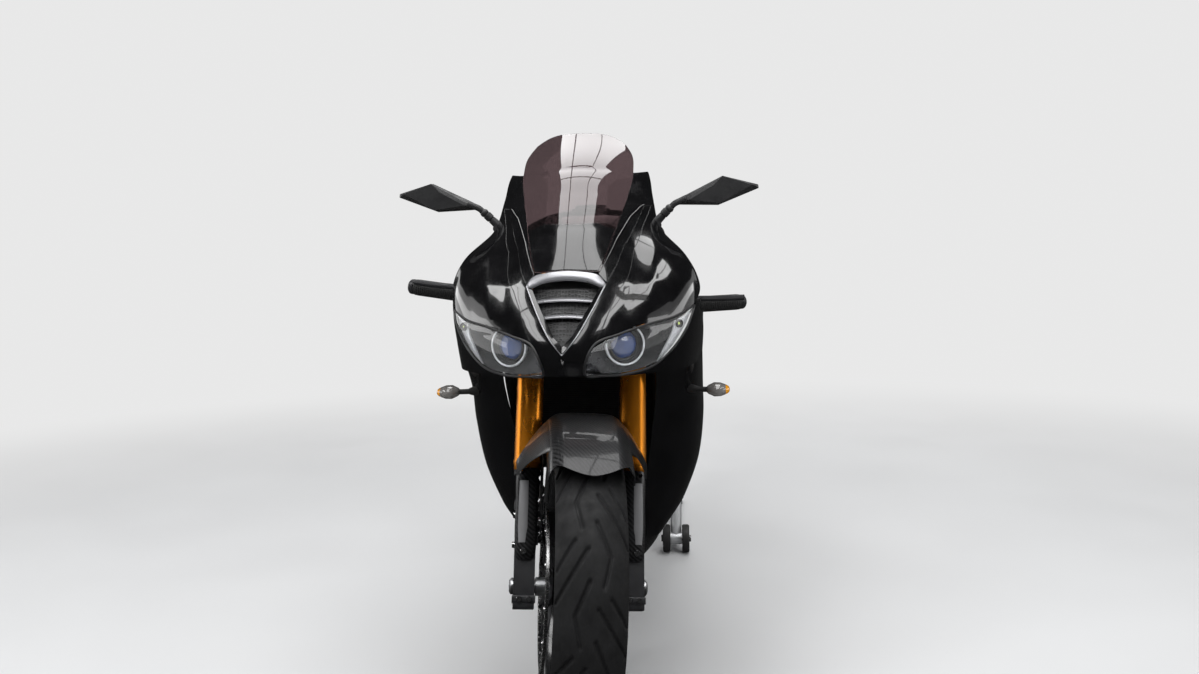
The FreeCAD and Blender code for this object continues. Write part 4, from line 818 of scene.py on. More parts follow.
on_fork("brake_calipers", caliper(), "cast_black", bevel=2.2, segments=3, replaces="front_calipers")
pins = joined(*[bolt((98, y, z), (1, 0, 0), 5.5, 5) for y, z in ((56, 104), (56, 140), (112, 136))])
on_fork("caliper_bolts", pins, "bright_steel", slot="steel")


def carbon(name, cell=2.1):
    """Carbon twill: threads run two ways and pass over one another in steps, under a clear coat."""
    made = bpy.data.materials.new(name)
    made.use_nodes = True
    tree = made.node_tree
    shader = tree.nodes["Principled BSDF"]
    for socket, value in (("Coat Weight", 0.3), ("Coat Roughness", 0.03), ("Metallic", 0.35)):
        shader.inputs[socket].default_value = value
    uv = tree.nodes.new("ShaderNodeTexCoord").outputs["UV"]
    split = tree.nodes.new("ShaderNodeSeparateXYZ")
    tree.links.new(uv, split.inputs[0])
    u = maths(tree, "MULTIPLY", split.outputs[0], 1.0 / (cell * MM))
    v = maths(tree, "MULTIPLY", split.outputs[1], 1.0 / (cell * MM))
    row = maths(tree, "FLOOR", v)
    column = maths(tree, "FLOOR", u)
    step = maths(tree, "FLOORED_MODULO", maths(tree, "ADD", row, column), 4.0)
    over = maths(tree, "LESS_THAN", step, 2.0)
    fibre_u = maths(tree, "FRACT", maths(tree, "MULTIPLY", v, 3.0))
    fibre_v = maths(tree, "FRACT", maths(tree, "MULTIPLY", u, 3.0))
    fibre = maths(tree, "ADD", maths(tree, "MULTIPLY", fibre_u, over),
                  maths(tree, "MULTIPLY", fibre_v, maths(tree, "SUBTRACT", 1.0, over)))
    shade = maths(tree, "ADD", maths(tree, "MULTIPLY", over, 0.6), maths(tree, "MULTIPLY", fibre, 0.3))
    tree.links.new(ramp(tree, shade, (0.0015, 0.0015, 0.0018), (0.034, 0.034, 0.036), 0.1, 0.95),
                   shader.inputs["Base Color"])
    tree.links.new(ramp(tree, over, [0.28] * 3, [0.5] * 3, 0.0, 1.0), shader.inputs["Roughness"])
    bump(tree, shader, shade, 0.00008)
    return made


FINISH["carbon_weave"] = carbon("carbon_weave")
add_finish("seat_cover", (0.022, 0.022, 0.023), 0.62, blotch=0.1, blotch_size=0.05, grain=0.00018, grain_size=0.0011,
           Sheen_Weight=0.15)
add_finish("tyre_rubber", (0.010, 0.010, 0.0105), 0.72, blotch=0.22, blotch_size=0.05, grain=0.00012,
           grain_size=0.0012, Specular_IOR_Level=0.3)
add_finish("disc_steel", (0.5, 0.5, 0.5), 0.24, 1.0, blotch=0.12, blotch_size=0.02, stretch=(1, 6, 6))
FINISH["red"] = finish("red_anodised", (0.5, 0.01, 0.012), 0.3, 0.6, Coat_Weight=0.5)
add_finish("stitch", (0.09, 0.09, 0.09), 0.7, grain=0.0001, grain_size=0.0006)
add_finish("dark_glass", (0.008, 0.009, 0.01), 0.06, Coat_Weight=1.0, Coat_Roughness=0.01)
add_finish("spring", (0.55, 0.55, 0.56), 0.3, 0.5, Coat_Weight=0.5)
add_finish("mirror_glass", (0.75, 0.77, 0.79), 0.03, 1.0, blotch=0.02)
add_finish("label_grey", (0.18, 0.18, 0.185), 0.45, grain=0.00003)


def unwrap(piece, size=1.0):
    """Box-mapped UVs in metres."""
    mesh = piece.data
    layer = mesh.uv_layers.new(name="UVMap").data
    for face in mesh.polygons:
        n = face.normal
        k = max(range(3), key=lambda i: abs(n[i]))
        i, j = ((1, 2), (0, 2), (0, 1))[k]
        for corner in face.loop_indices:
            p = mesh.vertices[mesh.loops[corner].vertex_index].co
            layer[corner].uv = (p[i] * size, p[j] * size)


# Tyres: round crown with slanting grooves, fine side ribs and the bead line
GROOVE_HALF, GROOVE_WALL = 4.2, 2.6  # half width of a groove at the surface, and of its sloping wall

def tyre_shape(radius, width, rim_width, around, across, periods, depth):
    bead = rim_width / 2 - 5.0
    shoulder_r = radius - width * 0.28
    bead_r, flange_r = 216.0, 225.0
    # Circle through the crown and both shoulders.
    h = radius - shoulder_r
    curve = ((width / 2) ** 2 + h ** 2) / (2 * h)
    spread = math.asin(min(1.0, width / 2 / curve)) if h < width / 2 else math.pi / 2
    crown = [(curve * math.sin(a), radius - curve + curve * math.cos(a))
             for a in np.linspace(spread, -spread, across)]
    left = spline([(bead + 1, flange_r), (width / 2 - 5, (flange_r + shoulder_r) / 2 - 6), (width / 2 - 0.4,
                                                                                            shoulder_r - 6),
                   (width / 2, shoulder_r)], 9)[:-1]
    profile = [(bead, bead_r)] + [tuple(p) for p in left] + crown
    profile += [(-x, r) for x, r in left[::-1]] + [(-bead, bead_r)]
    profile = np.array(profile)
    m, lead = len(profile), 1 + len(left)
    share = np.zeros(m)
    share[lead:lead + across] = np.linspace(1, -1, across)
    share[:lead] = 1.3
    share[lead + across:] = -1.3
    grooves = [((0.12, 0.15), (0.92, 0.62)), ((0.42, 0.07), (0.9, 0.33)), ((0.08, 0.42), (0.4, 0.72)),
               ((0.4, 0.72), (0.25, 0.97))]
    angles = np.arange(around) * 2 * math.pi / around
    half_arc = curve * spread
    period = 2 * math.pi * radius / periods
    u0 = (angles / (2 * math.pi) * periods)[:, None]
    v = share[None, :]
    w = np.abs(v)
    u = u0 + np.where(v < 0, 0.5, 0.0)
    near = np.full((around, m), 1e9)
    for (w0, a0), (w1, a1) in grooves:
        for shift in (-1, 0, 1):
            x, y = (np.mod(u, 1.0) - a0 - shift) * period, (w - w0) * half_arc
            dx, dy = (a1 - a0) * period, (w1 - w0) * half_arc
            t = np.clip((x * dx + y * dy) / (dx * dx + dy * dy), 0, 1)
            near = np.minimum(near, np.hypot(x - t * dx, y - t * dy))
    cut = np.clip((GROOVE_HALF - near) / GROOVE_WALL, 0, 1) * (w < 1.0)
    r = profile[None, :, 1] - depth * cut
    x = np.broadcast_to(profile[None, :, 0], (around, m))
    verts = np.stack([x, -r * np.sin(angles)[:, None], r * np.cos(angles)[:, None]], axis=2).reshape(-1, 3)
    ribs = [lathe([(s * (width / 2 - 6.5 + 0.8 * i), 233 + 6 * i), (s * (width / 2 - 4.2 + 0.8 * i), 235 + 6 * i),
                   (s * (width / 2 - 6.5 + 0.8 * i), 237 + 6 * i)], 96) for s in (1, -1) for i in (0, 1)]
    return joined((verts, turned_faces(around, m)), *ribs)


make("front_tread", tyre_shape(300.0, 120.0, 104.0, 560, 76, 10, 4.5), "tyre_rubber", "front_wheel_body",
     FRONT_WHEEL, angle=60, replaces="front_tyre")
make("rear_tread", tyre_shape(315.0, 180.0, 152.0, 460, 84, 10, 4.5), "tyre_rubber", "rear_wheel_body",
     REAR_WHEEL, angle=60, replaces="rear_tyre")


def wheel_shape(rim_width, hub_width):
    """Cast rim with its lips, five split spokes and the hub."""
    half = rim_width / 2
    rim = lathe([(-half, 224), (-half + 3, 225), (-half + 5, 222), (-half + 6, 216), (-half * 0.5, 209),
                 (half * 0.5, 209), (half - 6, 216), (half - 5, 222), (half - 3, 225), (half, 224), (half, 214),
                 (half - 6, 208), (half * 0.45, 200), (-half * 0.45, 200), (-half + 6, 208), (-half, 214)], 112)
    hub = lathe([(-hub_width / 2, 24), (-hub_width / 2, 32), (-hub_width / 2 + 4, 34), (-20, 34), (-16, 38),
                 (16, 38), (20, 34), (hub_width / 2 - 4, 34), (hub_width / 2, 32), (hub_width / 2, 24),
                 (hub_width / 2 - 3, 13.2), (-hub_width / 2 + 3, 13.2)], 64)
    spokes = []
    for k in range(5):
        t = 2 * math.pi * k / 5
        for side in (1, -1):
            rings = []
            for r, c, w, d in ((30, 3, 11, 17), (60, 7, 9, 14), (100, 12, 8.5, 12.5), (140, 20, 8.5, 12.5),
                               (180, 28, 8.5, 13), (203, 33, 10, 16)):
                ring = rounded(rect(c - w, c + w, -d, d), 6, 3)
                rings.append([(x, -r * math.sin(t) + side * a * math.cos(t), r * math.cos(t) + side * a * math.sin(t))
                              for a, x in ring])
            spokes.append(loft(rings))
    valve = placed(turned([(0, 4), (0.5, 4), (0.55, 3), (1, 3)], (10, 0, 200), (22, 0, 172), 10),
                   Matrix.Rotation(0.63, 4, "X"))
    return joined(rim, hub, *spokes, valve)


make("front_rim", wheel_shape(104.0, 100.0), "wheel_black", "front_wheel_body", FRONT_WHEEL, angle=40, bevel=0.6,
     replaces="front_wheel")
make("rear_rim", wheel_shape(152.0, 190.0), "wheel_black", "rear_wheel_body", REAR_WHEEL, angle=40, bevel=0.6,
     replaces="rear_wheel")


def ring_plate(x, thick, outer, inner, rows=(), n=96, wave=0.0):
    """Flat ring about the X axis with rows of drillings, each row (radius, count, hole radius, shift)."""
    def loop(r):
        return [((r + wave * math.cos(10 * t)) * math.cos(t), (r + wave * math.cos(10 * t)) * math.sin(t))
                for t in turns(n)]
    holes = [loop(inner)]
    for r, count, hole, shift in rows:
        for k in range(count):
            t = 2 * math.pi * (k + shift) / count
            holes.append(circle(r * math.cos(t), r * math.sin(t), hole, 10))
    return plate(loop(outer), x - thick / 2, x + thick / 2, "x", holes)


def disc_carrier(x, hub_x, band_r, arms=10):
    """Dished carrier from the hub face out to the bobbins."""
    out = math.copysign(1, x)
    seat = lathe([(hub_x, 24), (hub_x, 46), (hub_x + out * 6, 46), (hub_x + out * 6, 24)], 64)
    parts = [seat]
    for k in range(arms):
        t = 2 * math.pi * (k + 0.5) / arms
        rings = []
        for r, w, low, high in ((40, 9, hub_x, hub_x + out * 6), (70, 6, hub_x + out * 2.5, hub_x + out * 8.5),
                                (band_r - 14, 5, x - out * 4, x + out * 1.5), (band_r + 3, 7, x - 2.4, x + 2.4)):
            corners = rect(low, high, -w, w)
            rings.append([(a, -r * math.sin(t) + c * math.cos(t), r * math.cos(t) + c * math.sin(t))
                          for a, c in corners])
        parts.append(loft(rings))
    return joined(*parts)


def bobbins(x, radius, count=10):
    return joined(*[turned([(0, 4), (0, 7), (0.2, 7), (0.2, 5.5), (0.8, 5.5), (0.8, 7), (1, 7), (1, 4)],
                           (x - 4, -radius * math.sin(t), radius * math.cos(t)),
                           (x + 4, -radius * math.sin(t), radius * math.cos(t)), 14)
                    for t in turns(count, 0.5)])


rows = [(127, 40, 3.2, 0.0), (135, 40, 3.2, 0.5), (143, 40, 3.2, 0.0)]
front_band = joined(*[ring_plate(s * DISC_X, 5, 154, 120, rows) for s in (1, -1)])
make("front_disc_bands", front_band, "disc_steel", "front_wheel_body", FRONT_WHEEL, slot="steel", bevel=0.3,
     replaces="front_discs")
make("front_disc_carriers", joined(*[disc_carrier(s * DISC_X, s * 50, 120) for s in (1, -1)]), "cast_black",
     "front_wheel_body", FRONT_WHEEL, bevel=0.8)
make("front_disc_bobbins", joined(*[bobbins(s * DISC_X, 119) for s in (1, -1)],
                                  *[bolt((s * 56, -38 * math.sin(t), 38 * math.cos(t)), (s, 0, 0), 5, 4)
                                    for s in (1, -1) for t in turns(5)]),
     "bright_steel", "front_wheel_body", FRONT_WHEEL, slot="steel")


# Front mudguard: carbon arch with a dipped lip, legs ahead of the stanchions and their shields

def guard_shape():
    angles = np.linspace(-30, 60, 52)
    half = 73.5
    shares = np.linspace(-1, 1, 41)
    outer, inner = [], []
    for turn in angles:
        ahead = np.clip((turn - 24) / 36, 0, 1)
        for share in shares:
            w = abs(share)
            end = turn - ahead ** 3 * (5.2 * min(1, (w / 0.8)) ** 1.7 - 2.6 * max(0, (w - 0.8) / 0.2))
            a = math.radians(end)
            drop = 4 * w ** 2 + 22 * max(0, (w - 0.55) / 0.45) ** 2.2
            flank = (1.0 - 0.55 * ahead ** 2) * 30 * max(0, (w - 0.93) / 0.07)
            r = 321.8 - drop - flank * 0.9
            x = half * math.copysign(min(1.0, w * 1.04), share)
            outer.append((x, -r * math.sin(a), r * math.cos(a)))
            r -= 2.2
            inner.append((x * 0.972, -r * math.sin(a), r * math.cos(a)))
    grid = (len(angles), len(shares), 3)
    return shell(np.reshape(outer, grid), np.reshape(inner, grid))


guard = make("mudguard_arch", guard_shape(), "carbon_weave", "steering", FORK, angle=60, bevel=0.5,
             replaces="front_mudguard")
unwrap(guard)


def guard_wing():
    """Flare from the arch's side out over the front of the fork leg."""
    top, under = [], []
    for t in np.linspace(0, 1, 15):
        a = math.radians(47 - 33 * t)
        near = np.array((58, -312 * math.sin(a), 312 * math.cos(a)))
        far = np.array((121 + 3 * t, -46 + 12 * t, 196 + 30 * t))
        leave, arrive = near + (26, 6, -3 - 6 * t), far + (-10, -34 + 14 * t, 16 - 2 * t)
        line = [(1 - s) ** 3 * near + 3 * (1 - s) ** 2 * s * leave + 3 * (1 - s) * s * s * arrive + s ** 3 * far
                for s in np.linspace(0, 1, 21)]
        top.append(line)
        under.append([p + (0, 1.2, -1.8) for p in line])
    return loft([[tuple(p) for p in high + low[::-1]] for high, low in zip(top, under)])


wings = make("mudguard_wings", both(guard_wing()), "carbon_weave", "steering", FORK, angle=60, bevel=0.4)
unwrap(wings)
cheek = plate(rounded([(-66, 254), (-40, 120), (-28, 92), (8, 84), (20, 100), (34, 262), (-20, 290), (-84, 290)], 8),
              72.6, 74.8, "x")
shield = []
for z, wide, ahead in ((46, 15, -29), (58, 19, -33), (100, 21, -35), (150, 21, -35), (190, 22, -34), (214, 20, -32)):
    arc = [(FORK_X + wide * math.sin(t), ahead + 14 * (1 - math.cos(t)), z) for t in np.linspace(-1.45, 1.45, 13)]
    shield.append(arc + [(x, y + 2.4, z) for x, y, z in arc[::-1]])
leg = cubic(np.array(shield).reshape(6, -1), np.linspace(0, 5, 20)).reshape(20, -1, 3)
legs = make("fork_guards", both(joined(cheek, loft(leg))), "carbon_weave", "steering", FORK, angle=45, bevel=0.5)
unwrap(legs)
inset = []
for z, wide, ahead in ((76, 10, -34.9), (104, 12, -36.6), (150, 12, -36.6), (190, 11, -35.8)):
    inset.append([(FORK_X + 5 + wide * math.sin(t), ahead + 8 * (1 - math.cos(t)), z) for t in np.linspace(-1, 1, 7)]
                 + [(FORK_X + 5 + wide * math.sin(t), ahead + 1.5 + 8 * (1 - math.cos(t)), z)
                    for t in np.linspace(1, -1, 7)])
on_fork("fork_guard_plates", loft(inset), "label_grey", slot="matte_plastic", bevel=0.3)
spacers = joined(turned([(0, 9), (1, 9)], (75, -4, 118), (80, -4, 118), 20), bolt((FORK_X + 4, -33, 60), (0, -1, 0), 6,
                                                                                  6), bolt((FORK_X + 10, -35, 204),
                                                                                           (0, -1, 0), 4, 4),
                 bolt((74.8, -10, 150), (1, 0, 0), 4.5, 3), bolt((74.8, -2, 96), (1, 0, 0), 4.5, 3))
on_fork("guard_bolts", spacers, "bright_steel", slot="steel")

# Mirrors: faceted heads on ball joints, with short stalks and feet

def mirror_head():
    back = [(190, 1006), (206, 1020), (286, 1059), (356, 1041), (357, 1034), (278, 1003)]
    rim = [(x, 189, z) for x, z in back]
    belly = [(206, 176, 1012), (222, 172, 1014), (344, 173, 1040), (350, 180, 1040), (286, 166.5, 1058),
             (281, 166.5, 1006), (268, 165.5, 1040)]
    return hull(rim + belly)


on_both("mirror_head", mirror_head(), "matte_plastic", "root", bevel=1.2, angle=12, segments=3, replaces="mirrors")
bezel_line = [(x, z) for x, z in ((196, 1008), (208, 1019), (286, 1055), (352, 1039), (352, 1035), (279, 1006))]
on_both("mirror_glass", plate(rounded(bezel_line, 3), 188.5, 190.6, "y"), "mirror_glass", "root",
        slot="bare_aluminium", bevel=0.3)
stalk = joined(pipe([(153, 186, 967), (160, 184, 976), (170, 182, 986)], [9.5, 8.5, 7.5], 20),
               turned([(0, 6), (0.15, 8.5), (0.85, 8.5), (1, 6)], (170, 182, 986), (180, 180, 996), 24),
               turned([(0, 5), (0.2, 7.5), (0.5, 8.6), (0.8, 7.5), (1, 5)], (178, 180, 994), (188, 178.5, 1003), 24),
               pipe([(186, 178.5, 1001), (194, 177.5, 1008), (206, 177, 1013), (216, 176, 1016)], [6, 6, 6.5, 8], 20))
foot = plate(rounded([(139, 961), (160, 957), (168, 966), (164, 975), (146, 977)], 5), 176, 197, "y")
on_both("mirror_stalk", joined(stalk, foot), "matte_plastic", "root", bevel=0.8)

# Turn signals: stalk, smoked body and the amber tip

def signal(at, end, high, long):
    """Leaf-shaped lamp from its stalk's end outwards."""
    def run(*stations):
        return loft([[(at[0] + (end - at[0]) * share, at[1] + long * half * math.cos(t),
                       at[2] + high * half * math.sin(t)) for t in turns(24)] for share, half in stations])
    return (run((0, 0.3), (0.1, 0.62), (0.35, 1.0), (0.62, 0.96), (0.82, 0.72)),
            run((0.82, 0.7), (0.9, 0.6), (0.97, 0.42), (1.0, 0.2)))


body, tip = signal((250, 202, 638), 297, 14, 25)
neck = joined(pipe([(214, 214, 638), (236, 206, 638), (256, 202, 638)], [6.5, 5.5, 5.5], 16),
              turned([(0, 9), (0.5, 9), (1, 6.5)], (218, 215, 638), (232, 209, 638), 20))
on_both("front_signal_body", body, "signal_smoke", "root", angle=60, replaces="turn_signals")
on_both("front_signal_tip", tip, "amber", "root", slot="signal_smoke", angle=60)
on_both("front_signal_neck", neck, "rubber", "root", angle=50)
body, tip = signal((90, 1602, 760), 124, 10.5, 17)
neck = joined(pipe([(30, 1600, 768), (60, 1601, 764), (93, 1602, 760)], [7, 5.5, 5.5], 16),
              turned([(0, 9), (0.5, 9), (1, 6.5)], (34, 1600, 767.5), (48, 1601, 766), 20))
on_both("rear_signal_body", body, "signal_smoke", "root", angle=60)
on_both("rear_signal_tip", tip, "amber", "root", slot="signal_smoke", angle=60)
on_both("rear_signal_neck", neck, "rubber", "root", angle=50)

# Clip-on bars, in fork coordinates

BAR_START = Vector((FORK_X, 0, 551))
BAR_END = Vector((344, 96, 610))
BAR_ALONG = (BAR_END - BAR_START).normalized()
GRIP_START = BAR_END - BAR_ALONG * 118


def along_bar(distance, ahead=0.0, up=0.0):
    return BAR_END - BAR_ALONG * distance + Vector((0, -ahead, up))


clamp = lathe([(536, 26.2), (536, 34), (538, 35), (564, 35), (566, 34), (566, 26.2)], 56)
clamp = placed(clamp, Matrix.Translation((FORK_X, 0, 0)) @ Matrix.Rotation(-math.pi / 2, 4, "Y"))
ear = plate(rounded([(FORK_X - 12, -48), (FORK_X + 12, -48), (FORK_X + 14, -30), (FORK_X - 14, -30)], 4), 538, 564,
            "z")
tube = turned([(0, 13), (0.1, 13), (0.12, 11), (1, 11)], BAR_START + BAR_ALONG * 30, BAR_END, 28)
socket = turned([(0, 17), (0.8, 17), (1, 15)], BAR_START + BAR_ALONG * 28, BAR_START + BAR_ALONG * 56, 28)
on_fork("clip_on_bars", joined(clamp, ear, tube, socket), "cast_black", bevel=1.0, replaces="handlebars")
housing = []
for gap, wide, high in ((152, 15, 15), (148, 20, 21), (130, 21, 22), (122, 20, 20), (119, 17, 18)):
    centre = along_bar(gap, 2, 0)
    ring = rounded(rect(-wide, wide, -high, high), 9, 4)
    housing.append([centre + Vector((0, a, b)) for a, b in ring])
switches = joined(*[turned([(0, 4.5), (0.8, 4.5), (1, 3.5)], along_bar(d, -18, h), along_bar(d, -25, h), 14)
                    for d, h in ((128, 8), (128, -8), (142, 0))])
on_fork("switch_housings", joined(loft(housing), switches), "matte_plastic", bevel=0.8)
perch = joined(turned([(0, 16), (1, 16)], along_bar(168), along_bar(154), 28),
               pipe([along_bar(161, 6), along_bar(158, 26), along_bar(150, 40, -1)], [9, 8, 8], 16),
               turned([(0, 7), (1, 7)], along_bar(150, 42, -9), along_bar(150, 42, 9), 20))
on_fork("lever_perches", perch, "cast_black", bevel=0.8)


def lever():
    """Flat blade with a bend at the pivot and finger dips."""
    path = [(152, 40), (138, 46), (120, 46), (90, 45.5), (60, 44.5), (30, 45), (8, 47), (0, 48)]
    wide = [8, 8, 6.5, 6, 6, 6, 6.5, 6]
    rings = []
    fine = spline([(d, a, w) for (d, a), w in zip(path, wide)], 44)
    for d, a, w in fine:
        centre = along_bar(d, a, -2 - (152 - d) * 0.03)
        ring = rounded(rect(-w, w, -5, 5), 3, 3)
        rings.append([centre + Vector((0, p, q)) for p, q in ring])
    return loft(rings)


on_fork("levers", lever(), "cast_black", bevel=0.6)
adjust = turned([(0, 7), (0.7, 7), (1, 5)], along_bar(146, 42, 8), along_bar(146, 42, 14), 20)
on_fork("lever_adjusters", adjust, "red", slot="cast_black", bevel=0.4)
switch_pod = turned([(0, 8), (0.7, 8), (1, 6)], along_bar(136, 4, 20), along_bar(136, 4, 31), 18)
make("kill_switch", switch_pod, "red", "steering", matrix=FORK, slot="cast_black", bevel=0.5)


def grip():
    rings = [(0, 14), (0.005, 20), (0.035, 20), (0.04, 16)]
    for k in range(22):
        s = 0.05 + k * 0.041
        rings += [(s, 15.8), (s + 0.006, 17), (s + 0.03, 17), (s + 0.036, 15.8)]
    rings += [(0.965, 16.6), (0.99, 16.6), (1, 14)]
    return turned(rings, GRIP_START, BAR_END, 24)


on_fork("ribbed_grips", grip(), "rubber", bevel=0.3, replaces="grips")
weight = turned([(0, 12), (0.1, 15.5), (0.75, 15.5), (0.95, 13), (1, 6)], BAR_END, BAR_END + BAR_ALONG * 13, 28)
on_fork("bar_ends", weight, "cast_black", bevel=0.5)
master = joined(turned([(0, 10), (0.1, 12), (0.9, 12), (1, 10)], along_bar(166, 20, 6), along_bar(118, 26, 6), 20),
                turned([(0, 13), (0.8, 13), (0.82, 15), (1, 15)], along_bar(156, 22, 20), along_bar(156, 22, 44), 24))
make("brake_master", mirrored(master), "cast_black", "steering", matrix=FORK, bevel=0.6)
clutch_end = turned([(0, 7), (0.3, 9), (0.7, 9), (1, 4)], along_bar(158, 36, 0), along_bar(172, 32, 1), 18)
make("clutch_adjuster", clutch_end, "cast_black", "steering", matrix=FORK, bevel=0.4)

# Yokes, head nut and the instrument panel

def yoke_plate(z, thick, deep, holes):
    half = [(0, -22), (50, -26), (82, -deep), (110, -deep), (129, -14), (129, 14), (112, 28), (86, 30), (46, 60),
            (0, 64)]
    outline = rounded(half + [(-x, y) for x, y in half[-2:0:-1]], 9, 4)
    bores = [circle(s * FORK_X, 0, 26.2, 40) for s in (1, -1)]
    if holes:
        bores += [rounded([(s * 36, -12), (s * 66, -14), (s * 66, 14), (s * 44, 30)], 6) for s in (1, -1)]
    return plate(outline, z, z + thick, "z", bores)


def pinch_bolts(z):
    return [bolt((s * (FORK_X + d), -31, z), (0, -1, 0), 5, 5) for s in (1, -1) for d in (-12, 12)]


make("yoke_plates", joined(yoke_plate(434, 30, 32, False), yoke_plate(587, 18, 31, True)), "cast_black", "steering",
     matrix=FORK, bevel=2.2, segments=3, replaces="yokes")
nut = joined(turned([(0, 21), (0.6, 21), (1, 18)], (0, YOKE_OFFSET, 604), (0, YOKE_OFFSET, 613), 6),
             turned([(0, 24), (1, 24)], (0, YOKE_OFFSET, 602), (0, YOKE_OFFSET, 605), 32),
             *pinch_bolts(442), *pinch_bolts(456), *pinch_bolts(596))
make("yoke_nuts", nut, "bright_steel", "steering", matrix=FORK, slot="steel", bevel=0.4)
key = turned([(0, 13), (0.9, 13), (1, 11)], (0, -4, 601), (0, -4, 609), 24)
make("ignition_lock", key, "matte_plastic", "steering", matrix=FORK, bevel=0.5)

PANEL = BIKE @ Matrix.Translation((0, 175, 945)) @ Matrix.Rotation(math.radians(36), 4, "X")
case = rounded([(-82, -30), (82, -30), (82, 22), (60, 40), (-60, 40), (-82, 22)], 12)
make("clock_case", joined(plate(case, -22, 4, "z"), plate(case * 0.96, 4, 7, "z", [case * 0.88])), "matte_plastic",
     "root", matrix=PANEL, bevel=1.5, segments=3, replaces="instruments")
dial = turned([(0, 30), (0.7, 30), (1, 27)], (-32, 2, 3), (-32, 2, 8), 48)
make("clock_face", joined(plate(case * 0.89, 3.5, 4.6, "z"), dial), "dark_glass", "root", matrix=PANEL,
     slot="lens_clear", bevel=0.4)
hands = [plate(rounded([(-32 + r * math.cos(t) - w * math.sin(t), 2 + r * math.sin(t) + w * math.cos(t))
                        for r, w in ((21, 0.9), (27, 0.9), (27, -0.9), (21, -0.9))], 0.3, 1), 8.0, 8.3, "z")
         for t in np.linspace(-0.8, 3.9, 13)]
needle = plate([(-33.5, 0), (-30.5, 0), (-50, 20)], 8.4, 8.9, "z")
make("clock_marks", joined(*hands, needle), "lamp_silver", "root", matrix=PANEL, slot="grille_silver")


# ---- tank, seats and tail

def sections(table, count):
    """Spreads rows of section points smoothly along the machine."""
    rows = np.array(table, float)
    flat = cubic(rows.reshape(len(rows), -1), np.linspace(0, len(rows) - 1, count))
    return flat.reshape(count, *rows.shape[1:])


def closed_section(y, half, n=40):
    """Ring across the machine from a half outline of (x, z), bottom middle to top middle."""
    fine = spline(half, n)
    ring = [(x, y, z) for x, z in fine] + [(-x, y, z) for x, z in fine[-2:0:-1]]
    return ring


def tank_section(y, half, base, side, top):
    knee = 26 * math.exp(-((y - 690) / 90) ** 2)
    return [(0, base), (half * 0.6, base), (half * 0.9 - knee * 0.7, base + 6), (half * 0.99 - knee,
                                                                                 (base + side) / 2), (half, side - 4),
            (half * 0.93, side + (top - side) * 0.5), (half * 0.68, top - (top - side) * 0.17),
            (half * 0.36, top - (top - side) * 0.02), (0, top)]


TANK = [(349, 88, 880, 900, 949), (388, 122, 846, 914, 984), (430, 147, 806, 928, 1003), (500, 167, 801, 930, 1011),
        (560, 171, 801, 930, 1011.5), (630, 150, 812, 918, 994), (700, 117, 831, 900, 962), (750, 88, 842, 886, 926),
        (789, 70, 851, 872, 890)]
rings = [closed_section(y, tank_section(y, *rest)) for y, *rest in TANK]
tank = loft(sections(rings, 72))
make("tank_shell", tank, "gloss_black", "root", angle=55, bevel=2.0, segments=3, replaces="fuel_tank")
ring = lathe([(1004, 23), (1004, 44), (1013, 43.5), (1014.6, 42), (1014.9, 37), (1014.9, 24)], 64)
upright = Matrix.Translation((0, 500, 0)) @ Matrix.Rotation(-math.pi / 2, 4, "Y")
make("filler_ring", placed(ring, upright), "cast_black", "root", slot="gloss_black", bevel=0.4)
lid = lathe([(1015.1, 0.1), (1015.1, 35.5), (1018, 36), (1021, 35), (1022, 32), (1021.2, 26), (1021.2, 12), (1023, 11),
             (1023.4, 9), (1023.4, 0.1)], 64)
hinge = joined(rod((-9, 463.5, 1018.6), (9, 463.5, 1018.6), 3.2, 16),
               plate([(-8, 464), (8, 464), (10, 476), (-10, 476)], 1016.5, 1020, "z"))
make("cap_lid", joined(placed(lid, upright), hinge), "cast_black", "fuel_cap_body", slot="cast_black", bevel=0.4,
     replaces="fuel_cap")
lock = plate(rounded(rect(-8, 8, 494, 506), 5), 1023.2, 1025, "z", [rounded(
    rect(-1.2, 1.2, 496.5, 503.5), 0.4, 1)])
make("cap_lock", lock, "bright_steel", "fuel_cap_body", slot="steel", bevel=0.3)
screws = joined(*[bolt((39.8 * math.sin(t), 500 + 39.8 * math.cos(t), 1014.4), (0, 0, 1), 2.8, 2.2)
                  for t in turns(8, 0.5)])
make("cap_screws", screws, "bright_steel", "root", slot="steel")


